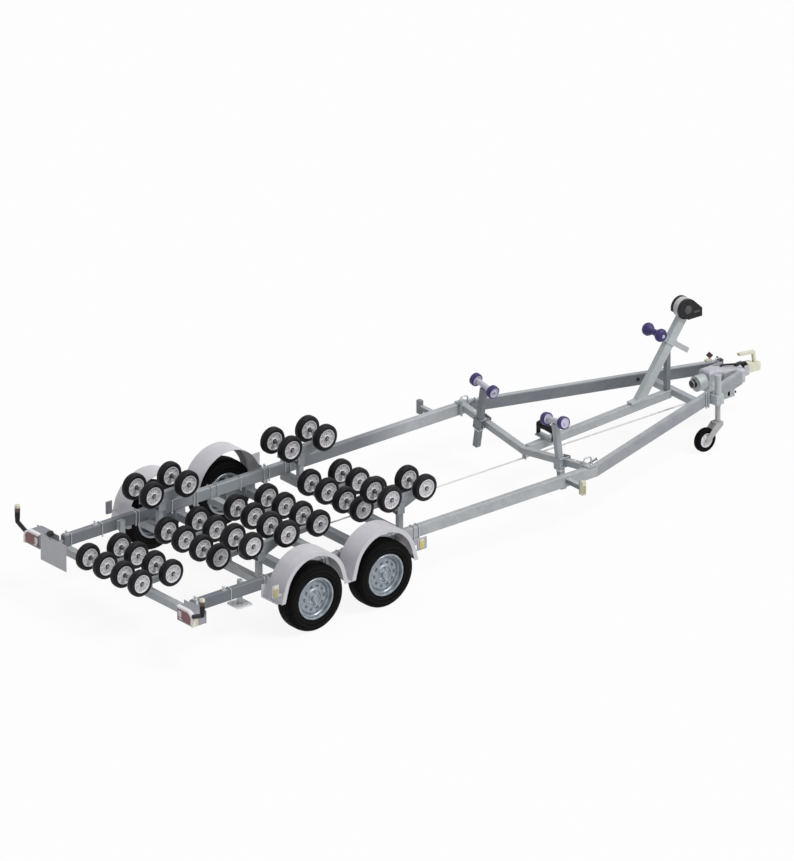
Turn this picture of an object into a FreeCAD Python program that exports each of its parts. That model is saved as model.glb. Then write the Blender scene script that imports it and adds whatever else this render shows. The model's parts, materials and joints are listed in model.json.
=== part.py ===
"""Tandem-axle roller boat trailer, in millimetres.

Stations (x) are measured forward from the rear wheels' centre, +X towards the
coupling, +Y to the trailer's left and +Z up from the ground. On export every
piece is moved back so that the origin is on the ground in the middle of the
trailer's length.
"""
import FreeCAD, Part
import math
import os

Vector = FreeCAD.Vector

# ---------------------------------------------------------------- road wheels
tyre_radius = 314.5
tyre_width = 195.0
rim_radius = 185.0
rim_flange_radius = 196.0
rim_flange_width = 8.0
rim_half_width = 78.0
axle_spacing = 795.0
drum_radius = 118.0
drum_width = 62.0
disc_thickness = 7.0
disc_inset = 34.0
stub_radius = 22.0
backplate_thickness = 8.0

# ---------------------------------------------------------------- side beams
beam_width = 60.0
beam_height = 110.0
beam_outer_y = 931.0
beam_top_z = 522.0
beam_rear_x = -1162.0
beam_bend_x = 3435.0
drawbar_front_x = 5740.0
drawbar_angle = 18.0

# ---------------------------------------------------------------- cross tubes
cross_tube_size = 70.0
bow_tube_size = 60.0
bow_tube_x = 3370.0
bow_tube_low_z = 368.0
bow_tube_rise = 8.8
front_tube_size = 62.0
front_tube_x = 5080.0
front_tube_z = 461.0
centre_beam_width = 60.0
centre_beam_height = 80.0
centre_beam_rise = 2.9

tube_a_x = -1127.0
tube_b_x = -231.0
tube_c_x = 540.0
tube_d_x = 1367.0
cradle_a_x = -1131.0
cradle_b_x = -244.0
cradle_c_x = 540.0
cradle_d_x = 1381.0
wing_b_x = -218.0
wing_d_x = 1353.0

# Each station along the frame: name, the cross tube's x, the middle of its
# keel cradle and the middle of its two side wings (None where there is none).
STATIONS = [
    {"name": "a", "tube_x": tube_a_x, "cradle_x": cradle_a_x, "wing_x": None},
    {"name": "b", "tube_x": tube_b_x, "cradle_x": cradle_b_x, "wing_x": wing_b_x},
    {"name": "c", "tube_x": tube_c_x, "cradle_x": cradle_c_x, "wing_x": None},
    {"name": "d", "tube_x": tube_d_x, "cradle_x": cradle_d_x, "wing_x": wing_d_x},
]

# ---------------------------------------------------------------- keel and side rollers
roller_radius = 124.0
roller_width = 70.0
roller_hub_radius = 84.0
roller_hub_inset = 9.0
roller_axle_radius = 12.0
sleeve_radius = 20.0
row_offset = 175.0
roller_pitch = 243.0
cradle_axle_z = 545.0
wing_y = 695.0
wing_row_offset = 198.0
wing_roller_pitch = 248.0
wing_axle_z = 810.0
rocker_width = 50.0
rocker_wall = 5.0
rocker_end = 26.0
rocker_lug = 18.0
ear_thickness = 8.0
ear_width = 64.0
ear_top = 14.0
pivot_radius = 12.0
wing_post_size = 48.0

# Each kind of rocker, below its roller axles: the top of its bar, its pivot, its lower edge
# at the ends and at the pivot, and the seat of the fork that the pivot stands in.
CRADLE_ROCKER = {"top": 60.0, "pivot": 88.0, "end": 100.0, "keel": 106.0, "seat": 133.0}
WING_ROCKER = {"top": 70.0, "pivot": 150.0, "end": 128.0, "keel": 200.0, "seat": 236.0}

# ---------------------------------------------------------------- clearances
running_clearance = 0.1
side_clearance = 3.0
tyre_clearance = 7.5
seat_clearance = 0.3

# ---------------------------------------------------------------- axles
axle_tube_size = 75.0
axle_tube_z = 347.0
arm_length = 150.0
arm_width = 34.0
arm_height = 70.0
arm_gap = 54.0
axle_seat_length = 110.0

# ---------------------------------------------------------------- mudguards
guard_gap = 38.5
guard_rise = 85.5
guard_thickness = 4.0
guard_width = 221.0
guard_outset = 23.5
guard_lip = 41.0
guard_flare = 15.0
guard_end_z = 355.0
guard_valley_least = 30.0
guard_bracket_width = 40.0
guard_bracket_thickness = 6.0
side_marker_inset = 30.0
side_marker_height = 118.0
side_marker_strip = 22.0

# Each side marker plate: the side of the guard it stands off (-1 rear, 1 front), how far
# its middle is past the guard's end, its middle height and its width.
SIDE_MARKERS = [
    {"sense": -1, "past_end": 46.5, "z": 492.0, "width": 74.0},
    {"sense": 1, "past_end": 62.5, "z": 480.0, "width": 114.0},
]

# ---------------------------------------------------------------- bow supports
bow_post_size = 52.0
bow_post_foot_y = 600.0
bow_post_foot_z = 219.0
bow_post_top_y = 497.0
bow_post_top_z = 815.0
bow_roller_radius = 60.0
bow_roller_width = 52.0
bow_roller_spread = 119.0
clamp_plate = 8.0
clamp_bolt_radius = 6.0
keel_roller_x = 3620.0
keel_roller_z = 522.0
keel_roller_radius = 35.0
keel_roller_length = 200.0

# ---------------------------------------------------------------- winch post
post_foot_x = 4667.0
post_foot_z = 447.0
post_lean = 36.2
post_depth = 88.0
post_width = 60.0
stop_arm_height = 639.0
stop_arm_size = 48.0
stop_arm_rear = 218.0
stop_arm_front = 246.0
strut_x = 5015.0
strut_size = 46.0
stop_roller_radius = 60.0
stop_roller_length = 250.0
stop_lobe_y = 91.0
stop_pin_radius = 12.0
winch_x = 5206.0
winch_z = 1236.0
winch_radius = 98.0
winch_seat = 78.0
winch_core_inset = 14.0
winch_width = 130.0
winch_cover = 26.0
winch_nose_x = 5368.0
winch_nose_z = 1175.0
winch_nose_height = 80.0

# ---------------------------------------------------------------- coupling
shaft_rear_x = 5300.0
shaft_radius = 38.0
shaft_z = 462.0
shaft_sleeve_rear_x = 5345.0
shaft_sleeve_radius = 72.0
shaft_sleeve_z = 452.0
housing_rear_x = 5445.0
housing_step_x = 5555.0
housing_slope_x = 5640.0
housing_front_x = 5862.0
housing_width = 150.0
housing_low_z = 354.0
housing_rear_top_z = 556.0
housing_slope_top_z = 528.0
housing_front_top_z = 482.0
bellows_rear_x = 5862.0
bellows_radius = 50.0
flange_plate_rear_x = 5590.0
flange_plate_front_x = 5742.0
flange_plate_thickness = 8.0
lever_plate_thickness = 12.0
lever_plate_low_z = 250.0
head_rear_x = 5930.0
head_tip_x = 6091.0
head_width = 84.0
ball_radius = 25.2
ball_x = 6046.0
ball_mouth_z = 402.0
head_top_z = 492.0
handle_z = 585.0
handle_rear_x = 5845.0
handle_length = 180.0
handle_rise = 20.0
handle_width = 38.0
handle_depth = 24.0

# ---------------------------------------------------------------- jockey wheel
jockey_x = 5272.0
jockey_y = -400.0
jockey_trail = 149.0
jockey_radius = 112.0
jockey_width = 60.0
jockey_tube_radius = 24.0
jockey_sleeve_radius = 29.0
jockey_sleeve_low_z = 400.0
jockey_sleeve_top_z = 668.0
jockey_tube_low_z = 252.0
jockey_tube_top_z = 655.0
jockey_cap_height = 34.0
jockey_travel = 140.0
fork_thickness = 6.0

# ---------------------------------------------------------------- support legs
leg_x = -549.0
leg_y = 820.0
leg_radius = 20.0
leg_sleeve_radius = 25.0
leg_foot_side = 177.0
leg_foot_corner = 28.0
leg_foot_thickness = 8.0
leg_foot_z = 285.0
leg_sleeve_low_z = 310.0
leg_travel = 160.0

# ---------------------------------------------------------------- lights
lamp_x = -1300.0
lamp_depth = 156.0
lamp_inner_y = 961.0
lamp_outer_y = 1184.0
lamp_low_z = 420.0
lamp_top_z = 562.0
lamp_corner_radius = 84.0
lamp_board_inner_y = 874.0
plate_x = -1368.0
plate_stay_y = 905.0
plate_stay_size = 24.0
plate_inner_y = 594.0
plate_outer_y = 953.0
plate_low_z = 330.0
plate_top_z = 585.0
sheet_thickness = 4.0
lamp_arm_size = 30.0
marker_arm_y = 1295.0
marker_arm_low_z = 520.0
marker_arm_top_z = 735.0
marker_arm_radius = 14.0
marker_lens_height = 110.0
marker_lens_size = 52.0
marker_arm_x = -1355.0
marker_stalk_z = 505.0
front_marker_x = 3100.0
front_marker_y = 1135.0
front_marker_z = 475.0
front_marker_depth = 40.0
front_marker_width = 52.0
front_marker_height = 130.0
front_marker_arm_width = 28.0
front_marker_arm_thickness = 12.0

brake_rod_z = 295.0
brake_rod_radius = 7.0


# ================================================================ building blocks
def block(x_range, y_range, z_range):
    """A rectangular block between two corners."""
    sizes = [high - low for low, high in (x_range, y_range, z_range)]
    return Part.makeBox(*sizes, Vector(x_range[0], y_range[0], z_range[0]))


def centred(middle, sizes):
    """A rectangular block of the given sizes around its middle."""
    return block(*[(m - s / 2, m + s / 2) for m, s in zip(middle, sizes)])


def rod(radius, start, end):
    """A round rod between two points."""
    start = Vector(*start)
    along = Vector(*end) - start
    return Part.makeCylinder(radius, along.Length, start, along)


def pipe(outer, inner, start, end):
    """A round tube between two points."""
    return rod(outer, start, end).cut(rod(inner, start, end))


def prism(outline, along):
    """A flat outline of 3-D points, pushed along a vector."""
    points = [Vector(*p) for p in outline]
    face = Part.Face(Part.makePolygon(points + points[:1]))
    return face.extrude(Vector(*along))


def turned(profile, middle, axis=(0, 1, 0)):
    """A closed (radius, along) profile turned about an axis through its middle."""
    middle = Vector(*middle)
    axis = Vector(*axis).normalize()
    outwards = axis.cross(Vector(1, 0, 0))
    points = [middle + axis * along + outwards * radius for radius, along in profile]
    return Part.Face(Part.makePolygon(points + points[:1])).revolve(middle, axis, 360)


def bar(start, end, across, thickness, depth):
    """A rectangular bar between two points: thickness along `across`, depth at right angles to it."""
    start = Vector(*start)
    along = Vector(*end) - start
    across = Vector(*across).normalize()
    up = along.cross(across).normalize()
    corners = [start + across * (i * thickness / 2) + up * (j * depth / 2)
               for i, j in ((-1, -1), (1, -1), (1, 1), (-1, 1))]
    return Part.Face(Part.makePolygon(corners + corners[:1])).extrude(along)


def joined(first, *others):
    """One solid from pieces that are welded together."""
    return first.multiFuse(list(others)).removeSplitter() if others else first


def mirrored(shape):
    """The same piece on the trailer's other side."""
    return shape.mirror(Vector(0, 0, 0), Vector(0, 1, 0))


def both_sides(shapes):
    """Pieces and their mirror images."""
    return shapes + [mirrored(shape) for shape in shapes]


# ================================================================ derived places
tan_drawbar = math.tan(math.radians(drawbar_angle))
cos_drawbar = math.cos(math.radians(drawbar_angle))
beam_inner_y = beam_outer_y - beam_width
beam_middle_y = beam_outer_y - beam_width / 2
beam_bottom_z = beam_top_z - beam_height
axle_half_length = beam_outer_y + arm_gap
wheel_y = axle_half_length + arm_width + tyre_clearance + tyre_width / 2
tyre_outer_y = wheel_y + tyre_width / 2
bend_outer_x = beam_bend_x + beam_width * math.tan(math.radians(drawbar_angle / 2))


def drawbar_inner_y(x):
    """How far the drawbar's inner face is from the middle at x."""
    return beam_inner_y - (x - beam_bend_x) * tan_drawbar


def drawbar_outer_y(x):
    """How far the drawbar's outer face is from the middle at x."""
    return drawbar_inner_y(x) + beam_width / cos_drawbar


tan_centre = math.tan(math.radians(centre_beam_rise))


def centre_beam_z(x):
    """Height of the centre beam's middle line at x."""
    return bow_tube_low_z + (x - bow_tube_x) * tan_centre


def centre_beam_top(x):
    """Height of the centre beam's upper face at x."""
    return centre_beam_z(x) + centre_beam_height / 2


tan_bow = math.tan(math.radians(bow_tube_rise))


def bow_tube_z(y):
    """Height of the bow cross tube's middle line, |y| from the middle."""
    return bow_tube_low_z + abs(y) * tan_bow


# The rearmost piece is a lamp or the rear cradle's last roller, the foremost the coupling's tip.
rear_end_x = min(STATIONS[0]["cradle_x"] - row_offset - roller_radius, lamp_x - lamp_depth / 2)
middle_x = (rear_end_x + head_tip_x) / 2


# ================================================================ frame
def main_beam():
    """Left side beam: straight, then bent inwards to the coupling."""
    outline = [
        (beam_rear_x, beam_inner_y), (beam_bend_x, beam_inner_y),
        (drawbar_front_x, drawbar_inner_y(drawbar_front_x)),
        (drawbar_front_x, drawbar_outer_y(drawbar_front_x)),
        (bend_outer_x, beam_outer_y), (beam_rear_x, beam_outer_y),
    ]
    return prism([(x, y, beam_bottom_z) for x, y in outline], (0, 0, beam_height))


def cross_tube(x):
    """Straight tube under both beams."""
    half = cross_tube_size / 2
    return block((x - half, x + half), (-beam_outer_y, beam_outer_y),
                 (beam_bottom_z - cross_tube_size, beam_bottom_z))


def bow_cross_tube():
    """Shallow V-shaped tube between the beams, lowest at the middle."""
    half = bow_tube_size / 2 / math.cos(math.radians(bow_tube_rise))
    side = beam_inner_y
    outline = [
        (-side, bow_tube_z(side) - half), (0, bow_tube_low_z - half), (side, bow_tube_z(side) - half),
        (side, bow_tube_z(side) + half), (0, bow_tube_low_z + half), (-side, bow_tube_z(side) + half),
    ]
    x = bow_tube_x - bow_tube_size / 2
    tube = prism([(x, y, z) for y, z in outline], (bow_tube_size, 0, 0))
    tab = centred((bow_tube_x, 0, brake_rod_z), (10, 50, 3 * brake_rod_radius))
    tab = tab.fuse(block((bow_tube_x - 5, bow_tube_x + 5), (-25, 25), (brake_rod_z, bow_tube_low_z)))
    bore = rod(brake_rod_radius, (bow_tube_x - 20, 0, brake_rod_z), (bow_tube_x + 20, 0, brake_rod_z))
    return joined(tube, tab.cut(bore))


def front_cross_tube():
    """Short tube between the two drawbars, its ends cut to their slope."""
    half = front_tube_size / 2
    rear, front = front_tube_x - half, front_tube_x + half
    outline = [(rear, -drawbar_inner_y(rear)), (front, -drawbar_inner_y(front)),
               (front, drawbar_inner_y(front)), (rear, drawbar_inner_y(rear))]
    return prism([(x, y, front_tube_z - half) for x, y in outline], (0, 0, front_tube_size))


def centre_beam():
    """Rising beam from the bow cross tube to the front cross tube."""
    rear = bow_tube_x + bow_tube_size / 2
    front = front_tube_x - front_tube_size / 2
    half = centre_beam_height / 2
    outline = [(x, centre_beam_z(x) + sign * half)
               for x, sign in ((rear, -1), (front, -1), (front, 1), (rear, 1))]
    return prism([(x, -centre_beam_width / 2, z) for x, z in outline], (0, centre_beam_width, 0))


def brake_rod():
    """Rod from the rear axle forward to the coupling's lever."""
    return rod(brake_rod_radius, (arm_length, 0, brake_rod_z), (flange_plate_rear_x + 40, 0, brake_rod_z))


# ================================================================ axles and wheels
def axle(wheel_x):
    """Square axle tube with a seat under each beam, trailing arms, backplates and stub axles."""
    x = wheel_x + arm_length
    half = axle_tube_size / 2
    pieces = [block((x - half, x + half), (-axle_half_length, axle_half_length),
                    (axle_tube_z - half, axle_tube_z + half))]
    drum_inner_y = wheel_y + tyre_width / 2 - disc_inset - disc_thickness - drum_width
    plate_y = drum_inner_y - side_clearance - backplate_thickness
    arm_middle_y = axle_half_length + arm_width / 2
    side = [
        block((x - axle_seat_length / 2, x + axle_seat_length / 2), (beam_inner_y, beam_outer_y),
              (axle_tube_z, beam_bottom_z)),
        bar((x + half, arm_middle_y, axle_tube_z), (wheel_x - half, arm_middle_y, tyre_radius),
            (0, 1, 0), arm_width, arm_height),
        rod(drum_radius, (wheel_x, plate_y, tyre_radius), (wheel_x, plate_y + backplate_thickness, tyre_radius)),
        rod(1.6 * stub_radius, (wheel_x, axle_half_length, tyre_radius), (wheel_x, plate_y, tyre_radius)),
        rod(stub_radius, (wheel_x, plate_y, tyre_radius),
            (wheel_x, wheel_y + tyre_width / 2 - disc_inset, tyre_radius)),
    ]
    return joined(*pieces, *both_sides(side))


def tyre(x, y):
    """Road tyre: bead, bulged wall, rounded shoulder and flat tread."""
    half = tyre_width / 2
    tread = tyre_radius
    bead = rim_radius + seat_clearance
    bead_half = rim_half_width - seat_clearance
    profile = [
        (bead, -bead_half), (rim_flange_radius + seat_clearance, -bead_half),
        (rim_flange_radius + 6, -0.46 * tyre_width), (0.78 * tread, -half),
        (0.90 * tread, -0.97 * half), (0.965 * tread, -0.88 * half), (0.99 * tread, -0.76 * half),
        (tread, -0.60 * half),
    ]
    profile += [(radius, -side) for radius, side in reversed(profile)]
    return turned(profile, (x, y, tyre_radius))


def rim(x, side):
    """Steel rim with its dished disc and the brake drum behind it; side is 1 left, -1 right."""
    half = rim_half_width
    well = rim_radius - 9
    disc_out = tyre_width / 2 - disc_inset
    disc_in = disc_out - disc_thickness
    drum_in = disc_in - drum_width
    bore = stub_radius + running_clearance
    barrel = [
        (rim_radius, -half), (rim_flange_radius, -half), (rim_flange_radius, -half - rim_flange_width),
        (well, -half - rim_flange_width), (well, half + rim_flange_width),
        (rim_flange_radius, half + rim_flange_width), (rim_flange_radius, half), (rim_radius, half),
    ]
    disc = [
        (bore, drum_in), (drum_radius, drum_in), (drum_radius, disc_in), (0.72 * well, disc_in),
        (well, disc_in - 18), (well, disc_out - 18), (0.74 * well, disc_out), (0.5 * well, disc_out),
        (0.44 * well, disc_out - 12), (bore, disc_out - 12),
    ]
    cap = rod(0.17 * rim_radius, (x, wheel_y + disc_out + side_clearance, tyre_radius),
              (x, wheel_y + disc_out + 16, tyre_radius))
    collar = pipe(0.26 * rim_radius, bore, (x, wheel_y + disc_out - 14, tyre_radius),
                  (x, wheel_y + disc_out + side_clearance, tyre_radius))
    middle = (x, wheel_y, tyre_radius)
    piece = joined(turned(barrel, middle), turned(disc, middle), collar, cap)
    return piece if side > 0 else mirrored(piece)


# ================================================================ keel cradles and wings
def roller_pair(x, y, z, pitch):
    """Two rollers on one axle, either side of y."""
    half = roller_width / 2
    web = half - roller_hub_inset
    wheel = [
        (0, -half), (sleeve_radius, -half), (sleeve_radius + 4, -web), (roller_hub_radius, -web),
        (roller_hub_radius + 3, -half), (0.90 * roller_radius, -half), (roller_radius, -0.55 * half),
    ]
    wheel += [(radius, -side) for radius, side in reversed(wheel)]
    reach = pitch / 2 + half + 7
    pieces = [rod(roller_axle_radius, (x, y - reach, z), (x, y + reach, z))]
    for side in (-1, 1):
        middle = y + side * pitch / 2
        pieces.append(turned(wheel, (x, middle, z)))
        sleeve_start = y + side * (rocker_width / 2 + running_clearance)
        pieces.append(rod(sleeve_radius, (x, sleeve_start, z), (x, middle, z)))
    return joined(*pieces)


def rocker(x, y, axle_z, offset, kind):
    """Rocker on a low pivot: two cheeks that rise to the roller axles, with a cover between them."""
    end = offset + rocker_end
    step = offset - rocker_end
    half = rocker_width / 2
    right = [(ear_width / 2, -kind["keel"]), (end, -kind["end"]), (end, rocker_lug), (step, rocker_lug),
             (step, -kind["top"])]
    outline = right + [(-along, height) for along, height in reversed(right)]
    piece = prism([(x + along, y - half, axle_z + height) for along, height in outline], (0, rocker_width, 0))
    hollow = block((x - end - 1, x + end + 1), (y - half + rocker_wall, y + half - rocker_wall),
                   (axle_z - kind["keel"] - 1, axle_z - kind["top"] - rocker_wall))
    slots = [block((x + low, x + high), (y - half + rocker_wall, y + half - rocker_wall),
                   (axle_z - kind["top"] - rocker_wall - 1, axle_z + rocker_lug + 1))
             for low, high in ((-end - 1, -step), (step, end + 1))]
    piece = piece.cut(hollow).cut(slots[0]).cut(slots[1])
    holes = ((-offset, axle_z, roller_axle_radius), (0, axle_z - kind["pivot"], pivot_radius),
             (offset, axle_z, roller_axle_radius))
    for place, z, radius in holes:
        piece = piece.cut(rod(radius + running_clearance, (x + place, y - rocker_width, z),
                              (x + place, y + rocker_width, z)))
    return piece


def pivot_stand(tube_x, x, y, axle_z, kind):
    """Two ears and the pin that a rocker turns on, on a seat plate."""
    pin_z = axle_z - kind["pivot"]
    seat_z = axle_z - kind["seat"]
    inner = rocker_width / 2 + side_clearance
    outer = inner + ear_thickness
    low_x = min(tube_x, x) - ear_width / 2
    high_x = max(tube_x, x) + ear_width / 2
    pieces = [rod(pivot_radius, (x, y - outer - 6, pin_z), (x, y + outer + 6, pin_z))]
    for side in (-1, 1):
        near, far = sorted((y + side * inner, y + side * outer))
        pieces.append(block((low_x, high_x), (near, far), (seat_z, pin_z + ear_top)))
    pieces.append(block((low_x, high_x), (y - outer, y + outer), (seat_z, seat_z + ear_thickness)))
    return joined(*pieces)


def wing_stand(tube_x, x, y):
    """Upright on a cross tube with a pivot fork on top."""
    fork_z = wing_axle_z - WING_ROCKER["seat"]
    half = wing_post_size / 2
    low_x = min(tube_x, x) - half
    high_x = max(tube_x, x) + half
    post = block((tube_x - half, tube_x + half), (y - half, y + half), (beam_bottom_z, fork_z))
    cap = block((low_x, high_x), (y - half, y + half), (fork_z - ear_thickness, fork_z))
    return joined(post, cap, pivot_stand(tube_x, x, y, wing_axle_z, WING_ROCKER))


def roller_row(x, z, offset_y_list, pitch):
    """Roller pairs that share one axle line."""
    return [roller_pair(x, y, z, pitch) for y in offset_y_list]


# ================================================================ mudguards
guard_radius = tyre_radius + guard_gap
guard_centre_z = tyre_radius + guard_rise
guard_outer_y = tyre_outer_y - guard_outset
guard_inner_y = guard_outer_y - guard_width
cos_flare = math.cos(math.radians(guard_flare))
sin_flare = math.sin(math.radians(guard_flare))
tan_flare = math.tan(math.radians(guard_flare))


def flank_x(z):
    """How far the outer skin of a guard's straight flank is from the wheel's centre at z."""
    return guard_radius * cos_flare + (guard_centre_z + guard_radius * sin_flare - z) * tan_flare


def guard_skin_z(x):
    """Height of a guard's outer skin, x from the wheel's centre."""
    turn_x = guard_radius * cos_flare
    if x < turn_x:
        return guard_centre_z + math.sqrt(guard_radius ** 2 - x ** 2)
    return guard_centre_z + guard_radius * sin_flare - (x - turn_x) / tan_flare


guard_end_x = flank_x(guard_end_z)
valley_edge_x = min(guard_end_x, (axle_spacing - guard_valley_least) / 2)
valley_z = guard_skin_z(valley_edge_x)


def arch_solid(radius, low_y, high_y):
    """Solid arch over the rear wheel: an arc, then straight flanks that flare out to the ground."""
    turn_x = radius * cos_flare
    turn_z = guard_centre_z + radius * sin_flare
    foot_x = turn_x + turn_z * tan_flare
    corners = [Vector(x, low_y, z) for x, z in
               ((-turn_x, turn_z), (turn_x, turn_z), (foot_x, 0), (-foot_x, 0))]
    top = Vector(0, low_y, guard_centre_z + radius)
    edges = [Part.Arc(corners[0], top, corners[1]).toShape()]
    edges += [Part.makeLine(corners[i], corners[(i + 1) % 4]) for i in (1, 2, 3)]
    return Part.Face(Part.Wire(edges)).extrude(Vector(0, high_y - low_y, 0))


def arch_shell(depth, low_y, high_y):
    """The arch hollowed to a depth below its skin, cut at the guard's end and at the valley."""
    shell = arch_solid(guard_radius, low_y, high_y)
    shell = shell.cut(arch_solid(guard_radius - depth, low_y - 1, high_y + 1))
    top_z = guard_centre_z + 2 * guard_radius
    keep = block((-2 * guard_end_x, valley_edge_x), (low_y - 1, high_y + 1), (guard_end_z, top_z))
    return shell.common(keep)


def guard_bracket(x):
    """Hanger on the beam's outer face with a foot under the guard."""
    edges = (x - guard_bracket_width / 2, x + guard_bracket_width / 2)
    foot_z = guard_end_z - guard_bracket_thickness
    hanger = block(edges, (beam_outer_y, beam_outer_y + guard_bracket_thickness),
                   (foot_z, beam_bottom_z + beam_height / 2))
    foot = block(edges, (beam_outer_y, guard_outer_y - guard_lip), (foot_z, guard_end_z))
    return hanger.fuse(foot)


def side_marker(marker):
    """Marker plate facing sideways, on a strip from the guard's flank."""
    wheel_x = axle_spacing if marker["sense"] > 0 else 0.0
    middle = guard_end_x + marker["past_end"]
    near, far = middle - marker["width"] / 2, middle + marker["width"] / 2
    low, high = marker["z"] - side_marker_height / 2, marker["z"] + side_marker_height / 2
    y = guard_outer_y - side_marker_inset
    ys = (y - sheet_thickness / 2, y + sheet_thickness / 2)
    root = flank_x(low + side_marker_strip) - guard_thickness
    pieces = [((near, far), (low, high)), ((root, near + side_marker_strip), (low, low + side_marker_strip))]
    plates = []
    for reach, heights in pieces:
        xs = sorted(wheel_x + marker["sense"] * x for x in reach)
        plates.append(block(xs, ys, heights))
    return joined(*plates)


def mudguard():
    """Left mudguard: an arch over each wheel, joined in a low valley, with an outer lip."""
    pieces = []
    for depth, low_y in ((guard_thickness, guard_inner_y), (guard_lip, guard_outer_y - guard_thickness)):
        arch = arch_shell(depth, low_y, guard_outer_y)
        pieces += [arch, arch.mirror(Vector(axle_spacing / 2, 0, 0), Vector(1, 0, 0))]
    edge = valley_edge_x - guard_thickness
    pieces.append(block((edge, axle_spacing - edge), (guard_inner_y, guard_outer_y),
                        (valley_z, valley_z + guard_thickness)))
    pieces += [guard_bracket(x) for x in (-guard_end_x, axle_spacing + guard_end_x)]
    valley_foot = block((axle_spacing / 2 - guard_bracket_width / 2, axle_spacing / 2 + guard_bracket_width / 2),
                        (beam_outer_y, guard_inner_y + guard_lip), (valley_z - guard_bracket_thickness, valley_z))
    pieces.append(valley_foot)
    pieces += [side_marker(marker) for marker in SIDE_MARKERS]
    return joined(*pieces)


# ================================================================ bow supports
bow_post_x = bow_tube_x - bow_tube_size / 2 - bow_post_size / 2
bow_post_foot = Vector(bow_post_x, bow_post_foot_y, bow_post_foot_z)
bow_post_top = Vector(bow_post_x, bow_post_top_y, bow_post_top_z)


def bow_roller_places():
    """Middle and axis direction of the left bow post's roller axle."""
    along = (bow_post_top - bow_post_foot).normalize()
    return bow_post_top + along * (bow_post_size / 2), along.cross(Vector(1, 0, 0))


def bow_post():
    """Left bow post: leaning tube clamped to the bow cross tube, with a cross bar on top."""
    foot = bow_post_foot
    top = bow_post_top
    along = (top - foot).normalize()
    hub, side = bow_roller_places()
    pieces = [bar(foot, top, (1, 0, 0), bow_post_size, bow_post_size)]
    reach = bow_roller_spread - bow_roller_width / 2 - side_clearance
    pieces.append(rod(bow_post_size / 2, hub - side * reach, hub + side * reach))
    far = bow_roller_spread + bow_roller_width / 2 + side_clearance
    pieces.append(rod(stop_pin_radius, hub - side * far, hub + side * far))
    # Two plates and four bolts clamp the post to the cross tube's rear face.
    lean = (bow_post_foot_y - bow_post_top_y) / (bow_post_top_z - bow_post_foot_z)
    rise = (bow_tube_z(bow_post_foot_y) - bow_post_foot_z) / (1 + lean * tan_bow)
    crossing = foot + along * (rise / along.z)
    half_tube = bow_tube_size / 2 + clamp_bolt_radius + side_clearance
    half_post = bow_post_size / 2 + clamp_bolt_radius + side_clearance
    rear = -bow_post_size / 2
    front = bow_post_size / 2 + bow_tube_size
    for near, far in ((rear - clamp_plate, rear), (front, front + clamp_plate)):
        start, end = crossing - along * (half_tube + 14), crossing + along * (half_tube + 14)
        plate = bar(start, end, (1, 0, 0), far - near, 2 * half_post + 24)
        plate.translate(Vector((near + far) / 2, 0, 0))
        pieces.append(plate)
    for i, j in ((-1, -1), (-1, 1), (1, -1), (1, 1)):
        spot = crossing + along * (i * half_tube) + side * (j * half_post)
        pieces.append(rod(clamp_bolt_radius, spot + Vector(rear - clamp_plate - 6, 0, 0),
                          spot + Vector(front + clamp_plate + 6, 0, 0)))
    return joined(*pieces)


def bow_rollers():
    """Left pair of bow rollers on their pin."""
    hub, side = bow_roller_places()
    half = bow_roller_width / 2
    bore = stop_pin_radius + running_clearance
    radius = bow_roller_radius
    profile = [(bore, -half + 5), (0.62 * radius, -half + 5), (0.68 * radius, -half),
               (0.84 * radius, -half), (radius, -half + 12)]
    profile += [(r, -along) for r, along in reversed(profile)]
    return [turned(profile, hub + side * (sign * bow_roller_spread), side) for sign in (-1, 1)]


def keel_roller_bracket():
    """Fork on the centre beam for the black keel roller, with its pin."""
    inner = keel_roller_length / 2 + side_clearance
    outer = inner + ear_thickness
    rear, front = keel_roller_x - 40, keel_roller_x + 40
    base_top = centre_beam_top(front) + ear_thickness
    saddle = prism([(rear, -outer, centre_beam_top(rear)), (front, -outer, centre_beam_top(front)),
                    (front, -outer, base_top), (rear, -outer, base_top)], (0, 2 * outer, 0))
    pieces = [saddle]
    for near, far in ((-outer, -inner), (inner, outer)):
        pieces.append(block((keel_roller_x - 22, keel_roller_x + 22), (near, far),
                            (base_top - ear_thickness, keel_roller_z + 18)))
    pieces.append(rod(stop_pin_radius, (keel_roller_x, -outer - 6, keel_roller_z),
                      (keel_roller_x, outer + 6, keel_roller_z)))
    return joined(*pieces)


def keel_roller():
    """Black keel roller, slightly waisted."""
    half = keel_roller_length / 2
    bore = stop_pin_radius + running_clearance
    profile = [(bore, -half), (keel_roller_radius, -half), (0.86 * keel_roller_radius, 0),
               (keel_roller_radius, half), (bore, half)]
    return turned(profile, (keel_roller_x, 0, keel_roller_z))


# ================================================================ winch post
post_direction = Vector(math.sin(math.radians(post_lean)), 0, math.cos(math.radians(post_lean)))
arm_direction = Vector(post_direction.z, 0, -post_direction.x)
post_foot = Vector(post_foot_x, 0, post_foot_z)
winch_middle = Vector(winch_x, 0, winch_z)
post_length = (winch_middle - post_foot).dot(post_direction) - winch_seat
arm_crossing = post_foot + post_direction * stop_arm_height
arm_rear = arm_crossing - arm_direction * stop_arm_rear
arm_front = arm_crossing + arm_direction * stop_arm_front


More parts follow.
